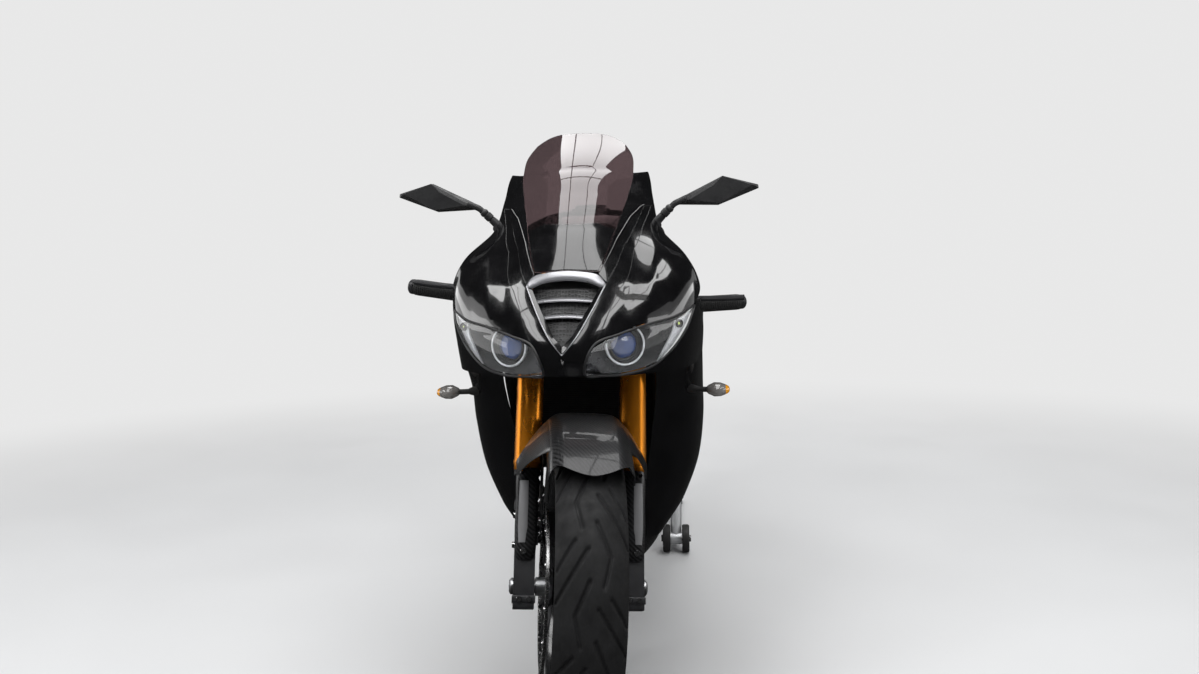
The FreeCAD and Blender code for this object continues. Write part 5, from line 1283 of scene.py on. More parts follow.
def swollen(shape, held, cap, voxel=5.0):
    """Foam under a cover: the closed form is remeshed and blown up as cloth, no point further than the cap."""
    verts, faces = placed(shape, BIKE)
    mesh = bpy.data.meshes.new("foam")
    mesh.from_pydata(verts.tolist(), [], faces)
    foam = bpy.data.objects.new("foam", mesh)
    bpy.context.scene.collection.objects.link(foam)
    remesh = foam.modifiers.new("remesh", "REMESH")
    remesh.mode = "VOXEL"
    remesh.voxel_size = voxel * MM
    even_mesh = bpy.data.meshes.new_from_object(foam.evaluated_get(bpy.context.evaluated_depsgraph_get()))
    foam.modifiers.clear()
    foam.data = even_mesh
    rest = np.array([v.co for v in even_mesh.vertices])
    group = foam.vertex_groups.new(name="held")
    group.add([i for i, p in enumerate(rest) if held(p / MM + (0, ORIGIN_Y, 0))], 1.0, "REPLACE")
    cloth = foam.modifiers.new("swell", "CLOTH")
    settings = cloth.settings
    settings.use_pressure = True
    settings.uniform_pressure_force = 4.0
    settings.vertex_group_mass = "held"
    settings.effector_weights.gravity = 0.0
    settings.tension_stiffness = settings.compression_stiffness = 25.0
    settings.bending_stiffness = 4.0
    cloth.point_cache.frame_end = 20
    scene = bpy.context.scene
    for step in range(1, 21):
        scene.frame_set(step)
    moved = foam.evaluated_get(bpy.context.evaluated_depsgraph_get()).data
    now = np.array([v.co for v in moved.vertices])
    shift = now - rest
    length = np.linalg.norm(shift, axis=1, keepdims=True)
    rest = rest + shift * np.minimum(1.0, cap * MM / np.maximum(length, 1e-9))
    scene.frame_set(1)
    polys = [list(p.vertices) for p in even_mesh.polygons]
    bpy.data.objects.remove(foam)
    return rest, polys


def soft(name, shape, held, cap, replaces):
    piece = make(name, swollen(shape, held, cap), "seat_cover", "root", matrix=Matrix.Identity(4), subdivide=1,
                 replaces=replaces)
    return piece


def over(piece, points, lift=0.4):
    """Points of the plan view put on top of a piece, in bike millimetres."""
    tree = bpy.context.evaluated_depsgraph_get()
    shape = piece.evaluated_get(tree)
    inverse = piece.matrix_world.inverted()
    out = []
    for x, y in points:
        start = inverse @ Vector((x * MM, (y - ORIGIN_Y) * MM, 1.3))
        hit, at, *_ = shape.ray_cast(start, inverse.to_3x3() @ Vector((0, 0, -1)))
        if hit:
            q = piece.matrix_world @ at
            out.append((q.x / MM, q.y / MM + ORIGIN_Y, q.z / MM + lift))
    return out


def stitched(name, piece, lines, gap=5.0):
    """A sunk seam cord with a row of stitches on each side of it."""
    threads, cords = [], []
    for line in lines:
        fine = even(spline(line, 60), 90)
        run = over(piece, fine, 0.1)
        if len(run) < 8:
            continue
        cords.append(pipe(even(run, 70), 1.3, 6, 140))
        run = np.array(run)
        length = np.linalg.norm(np.diff(run, axis=0), axis=1).sum()
        for side in (1, -1):
            d = np.gradient(fine, axis=0)
            normal = np.column_stack([-d[:, 1], d[:, 0]]) / np.linalg.norm(d, axis=1, keepdims=True)
            row = over(piece, fine + normal * side * 4.0, 0.25)
            if len(row) < 8:
                continue
            row = even(row, max(8, int(length / gap) * 2))
            for a, b in zip(row[::2], row[1::2]):
                threads.append(rod(a + (b - a) * 0.1, b - (b - a) * 0.1, 0.55, 6))
    bpy.context.view_layer.update()
    if cords:
        make(name + "_seams", joined(*cords), "rubber", "root", slot="seat_cover")
        make(name + "_stitches", joined(*threads), "stitch", "root", slot="seat_cover")


def pad_section(half, low, high, edge, crown):
    return [(0, low), (half * 0.6, low), (half - 4, low + 1), (half - 1, low + 6), (half - 1.5, high - edge),
            (half - edge * 0.9, high - edge * 0.32), (half * 0.55, high - 2), (0, high - crown)]


RIDER = [(794, 68, 848, 882), (840, 98, 848, 882), (900, 119, 848, 880), (970, 131, 852, 883), (1020, 134, 857, 890),
         (1036, 132, 862, 906), (1050, 127, 880, 928), (1058, 120, 912, 941)]
rings = [closed_section(y, pad_section(h, a, b, 11, 4), 24) for y, h, a, b in RIDER]
rider_form = loft(sections(rings, 34))
rider = soft("rider_pad", rider_form, lambda p: p[2] < 853 or p[1] < 800, 6.0, "rider_seat")
stitched("rider_pad", rider, [[(-112, 846), (-60, 900), (0, 908), (60, 900), (112, 846)],
                              [(-96, 1012), (-98, 940), (-72, 860), (-56, 806)],
                              [(96, 1012), (98, 940), (72, 860), (56, 806)],
                              [(-96, 1012), (0, 1020), (96, 1012)]])
PASSENGER = [(1076, 88, 951, 980), (1110, 94, 957, 989), (1200, 94, 972, 1005), (1280, 80, 986, 1017),
             (1334, 58, 998, 1025)]
rings = [closed_section(y, pad_section(h, a, b, 10, 0), 24) for y, h, a, b in PASSENGER]
pillion_form = loft(sections(rings, 34))
pillion = soft("passenger_pad", pillion_form, lambda p: p[2] < 953 + 0.181 * (p[1] - 1070) + 4, 6.0, "passenger_seat")
stitched("passenger_pad", pillion, [[(-66, 1090), (-70, 1200), (-44, 1322)], [(66, 1090), (70, 1200), (44, 1322)],
                                    [(-66, 1090), (0, 1096), (66, 1090)]])


def tail_section(half, low, high, dish):
    return [(0, low), (half * 0.62, low), (half * 0.86, low + 10), (half * 0.98, low + (high - low) * 0.42),
            (half, low + (high - low) * 0.62), (half - 7, high - 12), (half - 22, high - 1.5), (half * 0.5,
                                                                                                high - dish),
            (0, high - dish)]


FRONT_TAIL = [(901, 127, 791, 845), (970, 129, 794, 850), (1040, 130, 797, 857), (1066, 130, 800, 858)]
rings = [closed_section(y, tail_section(h, a, b, 0.3), 30) for y, h, a, b in FRONT_TAIL]
low_tail = loft(sections(rings, 16))
REAR_TAIL = [(1067, 129, 801, 947), (1130, 127, 810, 957), (1200, 121, 821, 969), (1320, 107, 846, 992),
             (1420, 91, 869, 1011), (1510, 77, 885, 1008), (1579, 65, 897, 999)]
rings = [closed_section(y, tail_section(h, a, b, 0.5), 30) for y, h, a, b in REAR_TAIL]
high_tail = loft(sections(rings, 44))
make("tail_shell", joined(low_tail, high_tail), "gloss_black", "root", angle=50, bevel=2.4, segments=3,
     replaces="tail_fairing")
tray = [(y, h * 0.8, a - 3, a + 5) for y, h, a, _ in REAR_TAIL]
rings = [[(-h, y, b), (-h * 0.94, y, a), (h * 0.94, y, a), (h, y, b)] for y, h, a, b in tray]
make("tail_undertray", loft(rings), "matte_plastic", "root", bevel=1.5)
groove = []
for y, h, a, b in REAR_TAIL[:-1]:
    groove.append((h * 0.985 + 1.2, y, a + (b - a) * 0.44))
on_both("tail_seam", pipe(groove, 1.4, 6, 60), "inner_black", "root", slot="matte_plastic")
hump = []
for y, w, z in ((1338, 56, 998), (1372, 60, 1016), (1430, 62, 1019), (1500, 52, 1013), (1560, 38, 1004)):
    hump.append(closed_section(y, [(0, z - 12), (w * 0.8, z - 10), (w, z - 6), (w * 0.8, z - 1), (w * 0.4, z + 0.5),
                                   (0, z + 1)], 16))
make("tail_hump", loft(sections(hump, 24)), "gloss_black", "root", angle=60)
lens_line = rounded([(-54, 962), (-44, 951), (44, 951), (54, 962), (50, 990), (38, 997), (-38, 997), (-50, 990)], 6)
centre = np.array((0, 974))
steps = [(1580.3, 1.0), (1592, 1.0), (1597, 0.95), (1599.4, 0.86)]
lens = loft([[(x, y, z) for x, z in (lens_line - centre) * s + centre] for y, s in steps])
make("tail_lens", lens, "lamp_red", "root", angle=50, bevel=0.8, replaces="tail_lamp")
ribs = joined(*[plate(rounded(rect(x - 3, x + 3, 960, 988), 1.5), 1598.5, 1600, "y")
                for x in range(-40, 41, 10)])
make("tail_lens_ribs", ribs, "lamp_red", "root", bevel=0.4)

# Number plate bracket
panel_line = rounded([(-89, 584), (89, 584), (89, 728), (50, 729), (-50, 729), (-89, 728)], 8)
holes = [circle(x, 690, 3.25, 24) for x in (-60, 60)]
slots = [rounded([(x - 22, 610), (x + 22, 610), (x + 16, 650), (x - 16, 650)], 5) for x in (-46, 46)]
bracket = plate(panel_line, 1646, 1652, "y", holes + slots)
spine = []
for y, z, w, h in ((1532, 892, 44, 18), (1566, 866, 40, 16), (1602, 812, 34, 14), (1630, 760, 30, 12),
                   (1644, 716, 30, 9)):
    d = Vector((0, 0.55, -0.83)) if y > 1540 else Vector((0, 0.8, -0.6))
    n = Vector((0, d.z, -d.y))
    c = Vector((0, y, z))
    spine.append([c + Vector((a, 0, 0)) + n * b for a, b in rounded([(-w / 2, -h / 2), (w / 2, -h / 2), (w / 2, h / 2),
                                                                     (-w / 2, h / 2)], 4)])
make("plate_bracket", joined(bracket, loft(sections(spine, 24))), "matte_plastic", "root", bevel=1.0,
     replaces="plate_holder")
light = plate(rounded([(-20, 732), (20, 732), (16, 748), (-16, 748)], 4), 1628, 1651, "y")
make("plate_lamp", light, "matte_plastic", "root", bevel=1.2)
make("rear_reflector", plate(rounded(rect(-26, 26, 590, 604), 3), 1652, 1656, "y"), "lamp_red",
     "root", bevel=0.8)


# ---- frame, engine and running gear

def bends(points, radius, steps=6):
    """Straight runs with an arc at every corner."""
    pts = [Vector(p) for p in points]
    path = [pts[0]]
    for before, corner, after in zip(pts, pts[1:], pts[2:]):
        a, b = (before - corner).normalized(), (after - corner).normalized()
        half = a.angle(b) / 2
        if half > 1.55:
            path.append(corner)
            continue
        reach = min(radius / math.tan(half), (before - corner).length * 0.48, (after - corner).length * 0.48)
        r = reach * math.tan(half)
        centre = corner + (a + b).normalized() * (r / math.sin(half))
        start, end = corner + a * reach - centre, corner + b * reach - centre
        turn = start.angle(end)
        axis = start.cross(end).normalized()
        path += [centre + Matrix.Rotation(turn * k / steps, 3, axis) @ start for k in range(steps + 1)]
    return path + [pts[-1]]


def tube(points, radius, bend=40.0, n=20):
    return pipe(bends(points, bend), radius, n, smooth=False)


def box_beam(stations, corner=9.0, count=36):
    """Beam with rounded corners through stations of (x, y, z, width, height)."""
    fine = cubic(np.array(stations, float), np.linspace(0, len(stations) - 1, count))
    rings = []
    for k, (x, y, z, w, h) in enumerate(fine):
        a, b = fine[max(k - 1, 0)], fine[min(k + 1, count - 1)]
        along = Vector((0, b[1] - a[1], b[2] - a[2])).normalized()
        up = Vector((0, -along.z, along.y))
        ring = rounded(rect(-w / 2, w / 2, -h / 2, h / 2), corner, 3)
        rings.append([Vector((x + p, y, z)) + up * q for p, q in ring])
    return loft(rings)


def weld(points, radius=2.6, step=4.0):
    """Row of overlapping weld scales along a line."""
    length = np.linalg.norm(np.diff(np.asarray(points, float), axis=0), axis=1).sum()
    path = even(points, max(4, int(length / step)))
    radii = [radius * (1.0 if k % 2 else 0.78) for k in range(len(path))]
    return pipe(path, radii, 6, smooth=False)


def head_point(along):
    p = Vector((0, YOKE_OFFSET, along))
    return Matrix.Translation((0, 0, FRONT_AXLE_Z)) @ (Matrix.Rotation(-RAKE, 4, "X") @ p)


HEAD_LOW, HEAD_HIGH = head_point(472), head_point(580)
spar = box_beam([(30, 258, 768, 34, 70), (128, 400, 750, 34, 90), (146, 520, 716, 32, 96), (146, 690, 620, 32, 96),
                 (144, 775, 520, 32, 84), (142, 800, 342, 32, 70)], 10, 48)
rib = [(162.4, 420, 744), (163, 520, 716), (163, 690, 620), (161, 770, 525)]
make("frame_spars", both(spar), "frame_grey", "root", angle=40, bevel=0.5, replaces="main_frame")
on_both("spar_recesses", pipe(rib, 2.2, 8, 60), "frame_grey", "root", angle=60)
head = joined(turned([(0, 29), (0.02, 31), (0.14, 31), (0.16, 29), (0.84, 29), (0.86, 31), (0.98, 31), (1, 29)],
                     HEAD_LOW, HEAD_HIGH, 48),
              both(plate(rounded([(250, 744), (330, 770), (330, 800), (262, 806)], 8), 6, 30, "x")))
make("head_tube", head, "frame_grey", "root", bevel=1.2)
cross = joined(rod((-128, 770, 360), (128, 770, 360), 14, 28), rod((-130, 690, 654), (130, 690, 654), 14, 28),
               plate(rounded([(690, 646), (858, 641), (866, 651), (858, 661), (690, 668)], 5), -14, 14),
               both(plate(rounded([(470, 662), (520, 662), (516, 698), (474, 698)], 6), 122, 134)),
               both(plate(rounded([(442, 742), (478, 742), (474, 799), (446, 799)], 5), 118, 140)),
               plate(rounded([(755, 378), (785, 378), (786, 292), (754, 292)], 8), 113, 123))
make("frame_crossers", cross, "frame_grey", "root", bevel=1.4)
make("fairing_stay", tube([HEAD_LOW + FORK_UP * 60, (0, 138, 806), (0, 152, 912)], 9, 24), "frame_grey", "root")
beads = [weld([(112 + 0.25 * i, 381 + 6 * math.sin(i / 20 * 6.28), 708 + 4.2 * i) for i in range(20)]),
         weld([(129, 690 + 15 * math.cos(t), 654 + 15 * math.sin(t)) for t in np.linspace(0, 6.28, 20)])]
on_both("frame_welds", joined(*beads), "frame_grey", "root")
caps = [turned([(0, 20), (0.7, 20), (1, 17)], (157, 800, 452), (163, 800, 452), 40),
        turned([(0, 12), (1, 11)], (162, 800, 452), (168, 800, 452), 6), bolt((162.5, 494, 700), (1, 0, 0), 8, 5),
        bolt((162.5, 700, 590), (1, 0, 0), 8, 5), bolt((159, 790, 374), (1, 0, 0), 7, 4)]
on_both("frame_bolts", joined(*caps), "bright_steel", "root", slot="steel", bevel=0.4)
rail = box_beam([(96, 680, 660, 22, 40), (90, 900, 814, 20, 26), (80, 1180, 872, 18, 24), (74, 1330, 900, 16, 20)], 6,
                40)
make("seat_rails", both(rail), "frame_grey", "root", angle=40, replaces="subframe")

# Engine: crankcase, sloping cylinders, head cover and the round side covers
case = plate(rounded([(428, 304), (636, 304), (744, 364), (747, 556), (646, 560), (600, 566), (432, 536)], 16), -86,
             86)
flanks = plate(rounded([(436, 330), (630, 330), (638, 400), (636, 540), (590, 560), (440, 528), (428, 430)], 18), -106,
               106)
barrel = plate(rounded([(420, 520), (600, 562), (596, 618), (426, 572)], 6), -114, 114)
head_block = plate(rounded([(424, 574), (597, 620), (592, 640), (482, 690), (426, 640)], 8), -117, 117)
fins = [plate(rounded([(418 + 0.5 * k, 524 + 12 * k), (602 - 0.5 * k, 566 + 12 * k), (602 - 0.5 * k, 570 + 12 * k),
                       (418 + 0.5 * k, 528 + 12 * k)], 1.5, 2), -117, 117) for k in range(4)]
make("engine_cases", joined(case, flanks, barrel, head_block, *fins), "bare_aluminium", "root", bevel=2.5, segments=3,
     angle=30, replaces="engine")
gasket = [turned([(0, 64), (0.5, 64), (0.62, 60), (0.9, 56), (0.92, 40), (1, 38)], (104, 520, 425), (122, 520, 425),
                 64), turned([(0, 34), (0.6, 34), (1, 30)], (84, 700, 480), (87.5, 700, 480), 40)]
clutch = [turned([(0, 74), (0.5, 74), (0.62, 70), (0.9, 66), (0.92, 46), (1, 44)], (-104, 582, 446), (-122, 582, 446),
                 64), turned([(0, 40), (0.5, 40), (1, 34)], (-104, 474, 470), (-119, 474, 470), 48)]
pan = plate(rounded([(452, 296), (612, 296), (628, 312), (436, 312)], 6), -70, 70)
make("engine_covers", joined(*gasket, *clutch, pan), "cast_black", "root", slot="bare_aluminium", bevel=1.2,
     segments=3)
ring_bolts = [bolt((s * 111.5, y + r * math.cos(t), z + r * math.sin(t)), (s, 0, 0), 4, 4) for s, y, z,
              r in ((1, 520, 425, 59.5), (-1, 582, 446, 69.5)) for t in np.linspace(0, 2 * math.pi, 11)[:-1]]
make("engine_bolts", joined(*ring_bolts), "bright_steel", "root", slot="steel")
top = plate(rounded([(470, 652), (560, 612), (590, 640), (486, 690)], 8), -100, 100)
make("cam_cover", top, "cast_black", "root", slot="bare_aluminium", bevel=3.0)

# Radiator with tanks at both ends and rows of fins
add_finish("dark_fins", (0.02, 0.02, 0.021), 0.5, 0.5)
core = plate([(320, 694), (336, 694), (357, 456), (341, 456)], -142, 142)
make("radiator_core", core, "inner_black", "root", slot="bare_aluminium", replaces="radiator")
rows_of = [plate([(318.4 + 21.2 * k / 60, 698 - 246 * k / 60), (337.6 + 21.2 * k / 60, 698 - 246 * k / 60),
                  (337.7 + 21.2 * k / 60, 696.6 - 246 * k / 60), (318.5 + 21.2 * k / 60, 696.6 - 246 * k / 60)], -142,
                 142) for k in range(61)]
make("radiator_fins", joined(*rows_of), "dark_fins", "root", slot="bare_aluminium")
tanks = both(joined(plate(rounded([(316, 702), (340, 702), (362, 448), (338, 448)], 5), 140, 158),
                    plate(rounded(rect(322, 338, 698, 735), 4), 66, 84)))
make("radiator_tanks", tanks, "cast_black", "root", slot="bare_aluminium", bevel=2.0)

# Black liner from the duct's lips back to the radiator, and a baffle beside it. Both are partly painted shade: black
# sheets that fill the duct and its gaps where shade falls inside the fairing.
LIP = [(150, 152, 699), (151, 190, 640), (142, 232, 560), (128, 270, 460), (112, 294, 380)]
FRAME_EDGE = [(160, 318, 700), (160, 324, 640), (160, 331, 560), (160, 340, 460), (156, 345, 400)]
liner = []
for a, b in zip(spline(LIP, 24), spline(FRAME_EDGE, 24)):
    line = [a + (b - a) * t + np.array((6 * math.sin(math.pi * t), 0, 0)) for t in np.linspace(0, 1, 9)]
    liner.append([tuple(p) for p in line] + [tuple(p - (2.5, 0, 0)) for p in line[::-1]])
on_both("duct_liner_shade", loft(liner), "inner_black", "root", slot="matte_plastic")
baffle = [(112, 385), (158, 385), (164, 500), (164, 700), (112, 700)]
on_both("duct_baffle_shade", plate(baffle, 331, 334, "y"), "inner_black", "root", slot="matte_plastic")

# Exhaust
HEADERS = []
for x in (-90, 0, 90):
    HEADERS.append(tube([(x, 426, 566), (x, 384, 548), (x * 0.6, 388, 262), (x * 0.5, 486, 240)], 18, 30, 24))
    HEADERS.append(turned([(0, 26), (1, 26)], (x, 426, 567), (x, 418, 563), 24))
collector = turned([(0, 30), (0.12, 40), (0.8, 40), (1, 26)], (0, 466, 240), (0, 640, 240), 40)
link = tube([(0, 630, 240), (0, 700, 245), (-72, 860, 330), (-72, 930, 560), (0, 1080, 770), (0, 1182, 824)], 24, 60,
            28)
make("exhaust_pipes", joined(*HEADERS, collector, link), "exhaust_steel", "root", angle=50, replaces="exhaust_headers")
can = box_beam([(0, 1180, 824, 90, 56), (0, 1240, 850, 112, 76), (0, 1350, 881, 111, 75), (0, 1470, 914, 108, 72),
                (0, 1566, 936, 84, 50)], 24, 30)
make("silencer_can", can, "exhaust_steel", "root", angle=50, replaces="silencer")
outlet = joined(*[turned([(0, 16), (0.9, 16), (1, 14.5), (1, 12.5), (0.1, 12.5)], (x, 1560, 934), (x, 1576, 938), 28)
                  for x in (-20, 20)])
make("silencer_outlets", outlet, "bright_steel", "root", slot="exhaust_steel", bevel=0.4)

# Swingarm, shock and chain run
arm = box_beam([(133, 852, 446, 26, 66), (139, 1010, 424, 32, 80), (139, 1240, 384, 32, 58), (139, 1455, 360, 32, 46)],
               9, 48)
web = box_beam([(113, 800, 452, 24, 44), (117, 890, 444, 24, 54)], 8, 12)
bridge = plate(rounded([(962, 394), (1048, 388), (1048, 444), (962, 452)], 12), -124, 124)
link_arm = plate(rounded([(848, 346), (880, 346), (968, 402), (968, 428), (848, 372)], 6), -13, 13)
boss = joined(turned([(0, 22), (1, 22)], (99, 800, 452), (125, 800, 452), 40),
              turned([(0, 24), (1, 22)], (155, WHEELBASE, REAR_AXLE_Z), (160, WHEELBASE, REAR_AXLE_Z), 32))
make("swingarm_arms", joined(both(joined(arm, web, boss)), bridge, link_arm), "frame_grey", "root", angle=40,
     bevel=0.8, replaces="swingarm")
blocks = [plate(rounded(rect(1366, 1430, 343, 377), 5), 155, 159, "x",
                [circle(WHEELBASE, REAR_AXLE_Z, 12.6, 28)]), rod((155.5, 1440, 360), (155.5, 1468, 360), 3.5, 12)]
spool = turned([(0, 9), (0.1, 12), (0.3, 8.5), (0.72, 8.5), (0.86, 12), (1, 12)], (155, 1296, 372), (187, 1296, 372),
               32)
on_both("axle_blocks", joined(*blocks), "bare_aluminium", "root", bevel=0.8)
on_both("stand_bobbins", spool, "cast_black", "root", slot="frame_grey", bevel=0.5)
spindle = joined(turned([(0, 12.5), (1, 12.5)], (-164, WHEELBASE, REAR_AXLE_Z), (164, WHEELBASE, REAR_AXLE_Z), 32),
                 turned([(0, 19), (0.8, 19), (1, 16)], (158, WHEELBASE, REAR_AXLE_Z), (168, WHEELBASE, REAR_AXLE_Z),
                        6), turned([(0, 19), (0.8, 19), (1, 16)], (-158, WHEELBASE, REAR_AXLE_Z),
                                   (-168, WHEELBASE, REAR_AXLE_Z), 6))
make("rear_spindle", spindle, "bright_steel", "root", slot="steel", bevel=0.5, replaces="rear_axle")
TOP, FOOT = Vector((0, 850, 645)), Vector((0, 862, 366))
way = lambda s: TOP + (FOOT - TOP) * s
damper = joined(turned([(0, 14), (0.06, 14), (0.08, 17), (0.52, 17), (0.54, 8), (0.86, 8), (0.88, 13), (1, 13)], TOP,
                       FOOT, 32), turned([(0, 32), (1, 32)], way(0.23), way(0.26), 40), turned([(0, 32), (1, 32)],
                                                                                               way(0.82), way(0.85),
                                                                                               40))
make("shock_body", damper, "bright_steel", "root", slot="steel", bevel=0.6, replaces="shock_absorber")
along = (FOOT - TOP).normalized()
side = along.orthogonal().normalized()
other = along.cross(side)
COIL_TURNS, COIL_STEPS, COIL_R = 7, 24, 27
coil = []
for k in range(COIL_TURNS * COIL_STEPS + 1):
    t = k * 2 * math.pi / COIL_STEPS
    coil.append(way(0.265 + 0.55 * k / (COIL_TURNS * COIL_STEPS)) + (side * math.cos(t) + other * math.sin(t)) * COIL_R)
make("shock_spring", pipe(coil, 5.6, 10, smooth=False), "spring", "root", slot="steel")

REAR_TEETH, FRONT_TEETH, PITCH, CHAIN_X = 47, 16, 15.875, 108.0
FRONT_SPROCKET = np.array((712.0, 472.0))
REAR_CENTRE = np.array((WHEELBASE, REAR_AXLE_Z))


def chain_points():
    """Pins round both sprockets, evenly spread at nearly the pitch."""
    r1, r2 = PITCH / (2 * math.sin(math.pi / REAR_TEETH)), PITCH / (2 * math.sin(math.pi / FRONT_TEETH))
    run = REAR_CENTRE - FRONT_SPROCKET
    tilt, lean = math.atan2(run[1], run[0]), math.asin((r1 - r2) / np.linalg.norm(run))
    up, down = tilt + math.pi / 2 + lean, tilt - math.pi / 2 - lean
    out = lambda a: np.array((math.cos(a), math.sin(a)))
    rear = [REAR_CENTRE + out(a) * r1 for a in np.linspace(up, down, 200)]
    front = [FRONT_SPROCKET + out(a) * r2 for a in np.linspace(down, up - 2 * math.pi, 120)]
    loop = np.array(rear + front + [rear[0]])
    length = np.linalg.norm(np.diff(loop, axis=0), axis=1).sum()
    count = 2 * round(length / PITCH / 2)
    return even(loop, count, True)


PINS = chain_points()


def phase(centre, teeth):
    """Angle of the valley nearest to a pin that lies on the wrap's far side."""
    d = PINS - centre
    r = PITCH / (2 * math.sin(math.pi / teeth))
    on = np.where(np.abs(np.hypot(*d.T) - r) < 0.6)[0]
    k = on[len(on) // 2]
    return math.atan2(d[k][1], d[k][0])


def sprocket(teeth, centre, bore, x, thick, holes=()):
    r = PITCH / (2 * math.sin(math.pi / teeth))
    start = phase(centre, teeth)
    line = []
    for k in range(teeth):
        a = start + 2 * math.pi * k / teeth
        u, v = np.array((math.cos(a), math.sin(a))), np.array((-math.sin(a), math.cos(a)))
        for t in (-70, -35, 0, 35, 70):
            t = math.radians(t)
            line.append(centre + u * (r - 5.3 * math.cos(t)) + v * 5.3 * math.sin(t))
        b = a + math.pi / teeth
        for turn in (-0.014 * 47 / teeth, 0.014 * 47 / teeth):
            line.append(centre + np.array((math.cos(b + turn), math.sin(b + turn))) * (r + 3.2))
    return plate(line, x - thick / 2, x + thick / 2, "x", [circle(*centre, bore, 32), *holes])


def chain_shape():
    parts = []
    n = len(PINS)
    for k in range(n):
        a, b = PINS[k], PINS[(k + 1) % n]
        d = (b - a) / np.linalg.norm(b - a)
        w = np.array((-d[1], d[0]))
        line = []
        for c, sign in ((a, -1), (b, 1)):
            for t in (-110, -60, 0, 60, 110):
                t = math.radians(t)
                line.append(c + (d * math.cos(t) * sign + w * math.sin(t) * sign) * 7.3)
            line.append((a + b) / 2 + w * sign * 4.6)
        x = (8.9, 11.0) if k % 2 else (6.6, 8.7)
        flat = np.array(line)
        parts += [plate(flat, CHAIN_X + s * x[0], CHAIN_X + s * x[1]) for s in (1, -1)]
        parts.append(turned([(0, 5), (1, 5)], (CHAIN_X - 6.6, *a), (CHAIN_X + 6.6, *a), 10))
        parts.append(turned([(0, 2.4), (0.04, 2.8), (0.96, 2.8), (1, 2.4)], (CHAIN_X - 12.2, *a), (CHAIN_X + 12.2, *a),
                            8))
    return joined(*parts)


make("drive_chain", chain_shape(), "steel", "root", angle=30, replaces="chain")
make("front_sprocket", joined(sprocket(FRONT_TEETH, FRONT_SPROCKET, 13, CHAIN_X, 6),
                              rod((86, *FRONT_SPROCKET), (116, *FRONT_SPROCKET), 14, 28),
                              turned([(0, 19), (1, 17)], (111, *FRONT_SPROCKET), (118, *FRONT_SPROCKET), 6)),
     "steel", "root", bevel=0.3)
slots = [rounded([(REAR_CENTRE[0] + r * math.cos(t + w), REAR_CENTRE[1] + r * math.sin(t + w))
                  for r, w in ((62, -0.2), (62, 0.2), (96, 0.22), (96, -0.22))], 6, 3)
         for t in turns(10)]
sprocket_plate = sprocket(REAR_TEETH, REAR_CENTRE, 30, CHAIN_X, 6, slots)
centred = placed(sprocket_plate, Matrix.Translation((0, -WHEELBASE, -REAR_AXLE_Z)))
nuts = [turned([(0, 8), (1, 7)], (111, 44 * math.cos(t), 44 * math.sin(t)), (117, 44 * math.cos(t), 44 * math.sin(t)),
               6) for t in turns(5)]
hub = lathe([(95, 26), (95, 50), (105, 50), (105, 26)], 56)
make("rear_sprocket", joined(centred, hub, *nuts), "steel", "rear_wheel_body", REAR_WHEEL, bevel=0.4)
drill = [(80, 24, 3.2, 0.0), (90, 24, 3.2, 0.5), (101, 24, 3.2, 0.0)]
make("rear_disc_band", joined(ring_plate(-108, 5, 110, 72, drill), disc_carrier(-108, -95, 72, 5)), "disc_steel",
     "rear_wheel_body", REAR_WHEEL, slot="steel", bevel=0.3, replaces="rear_disc_sprocket")
outline = rounded([(1300, 424), (1330, 428), (1350, 436), (1362, 484), (1316, 476), (1304, 450)], 8)
rear_grip = joined(plate(outline, -138, -117), plate(outline, -99, -85),
                   plate(rounded([(1300, 426), (1312, 428), (1322, 474), (1316, 476)], 3), -118, -98),
                   plate(rounded([(1296, 380), (1344, 380), (1352, 450), (1300, 440)], 8), -138, -129),
                   turned([(0, 14), (0.8, 14), (1, 12)], (-137, 1334, 456), (-142, 1334, 456), 28))
make("rear_brake_caliper", rear_grip, "cast_black", "root", bevel=1.6, segments=3, replaces="rear_caliper")
make("rear_caliper_bolts", joined(*[bolt((-138, y, z), (-1, 0, 0), 4.5, 4) for y, z in ((1308, 396), (1336, 396),
                                                                                        (1310, 464))]), "bright_steel",
     "root", slot="steel")


def hugger_shape():
    rings = []
    for turn in np.linspace(28, 84, 26):
        a = math.radians(turn)
        ring = [(-92, 325), (-84, 331), (-60, 335), (0, 336), (60, 335), (84, 331), (92, 325),
                (92, 323), (83, 328), (60, 331.5), (0, 332.5), (-60, 331.5), (-83, 328), (-92, 323)]
        rings.append([(x, -r * math.sin(a), r * math.cos(a)) for x, r in ring])
    return placed(loft(rings), Matrix.Translation((0, WHEELBASE, REAR_AXLE_Z)))


tabs = both(plate(rounded(rect(1062, 1098, 440, 450), 3), 88, 123))
make("hugger_shell", joined(hugger_shape(), tabs), "matte_plastic", "root", angle=50, bevel=0.8,
     replaces="rear_hugger")

# Rider's foot controls, side stand and paddock stand
hanger = plate(rounded([(800, 470), (850, 500), (930, 430), (900, 360), (850, 350)], 12), 160, 168, "x",
               [rounded([(838, 462), (856, 470), (896, 432), (880, 396), (858, 392)], 8), circle(812, 468, 4, 16)])
peg = joined(turned([(0, 9), (0.06, 13), (0.1, 11)] + [(0.12 + 0.08 * k + e, r) for k in range(10) for e,
                                                       r in ((0, 11), (0.03, 10), (0.06,
                                                                                   11))] + [(0.95, 11), (0.96, 13),
                                                                                            (1, 12)], (168, 905, 391),
                    (244, 905, 385), 24))
toe = joined(pipe([(176, 900, 380), (178, 850, 362), (178, 796, 356)], 6, 12),
             turned([(0, 8), (0.9, 8), (1, 6)], (176, 790, 357), (226, 790, 352), 16))
on_both("foot_hangers", joined(hanger, toe), "bare_aluminium", "root", bevel=1.2, replaces="foot_controls")
on_both("foot_pegs", peg, "cast_black", "root", slot="bare_aluminium", bevel=0.4)
TILT = math.radians(16)
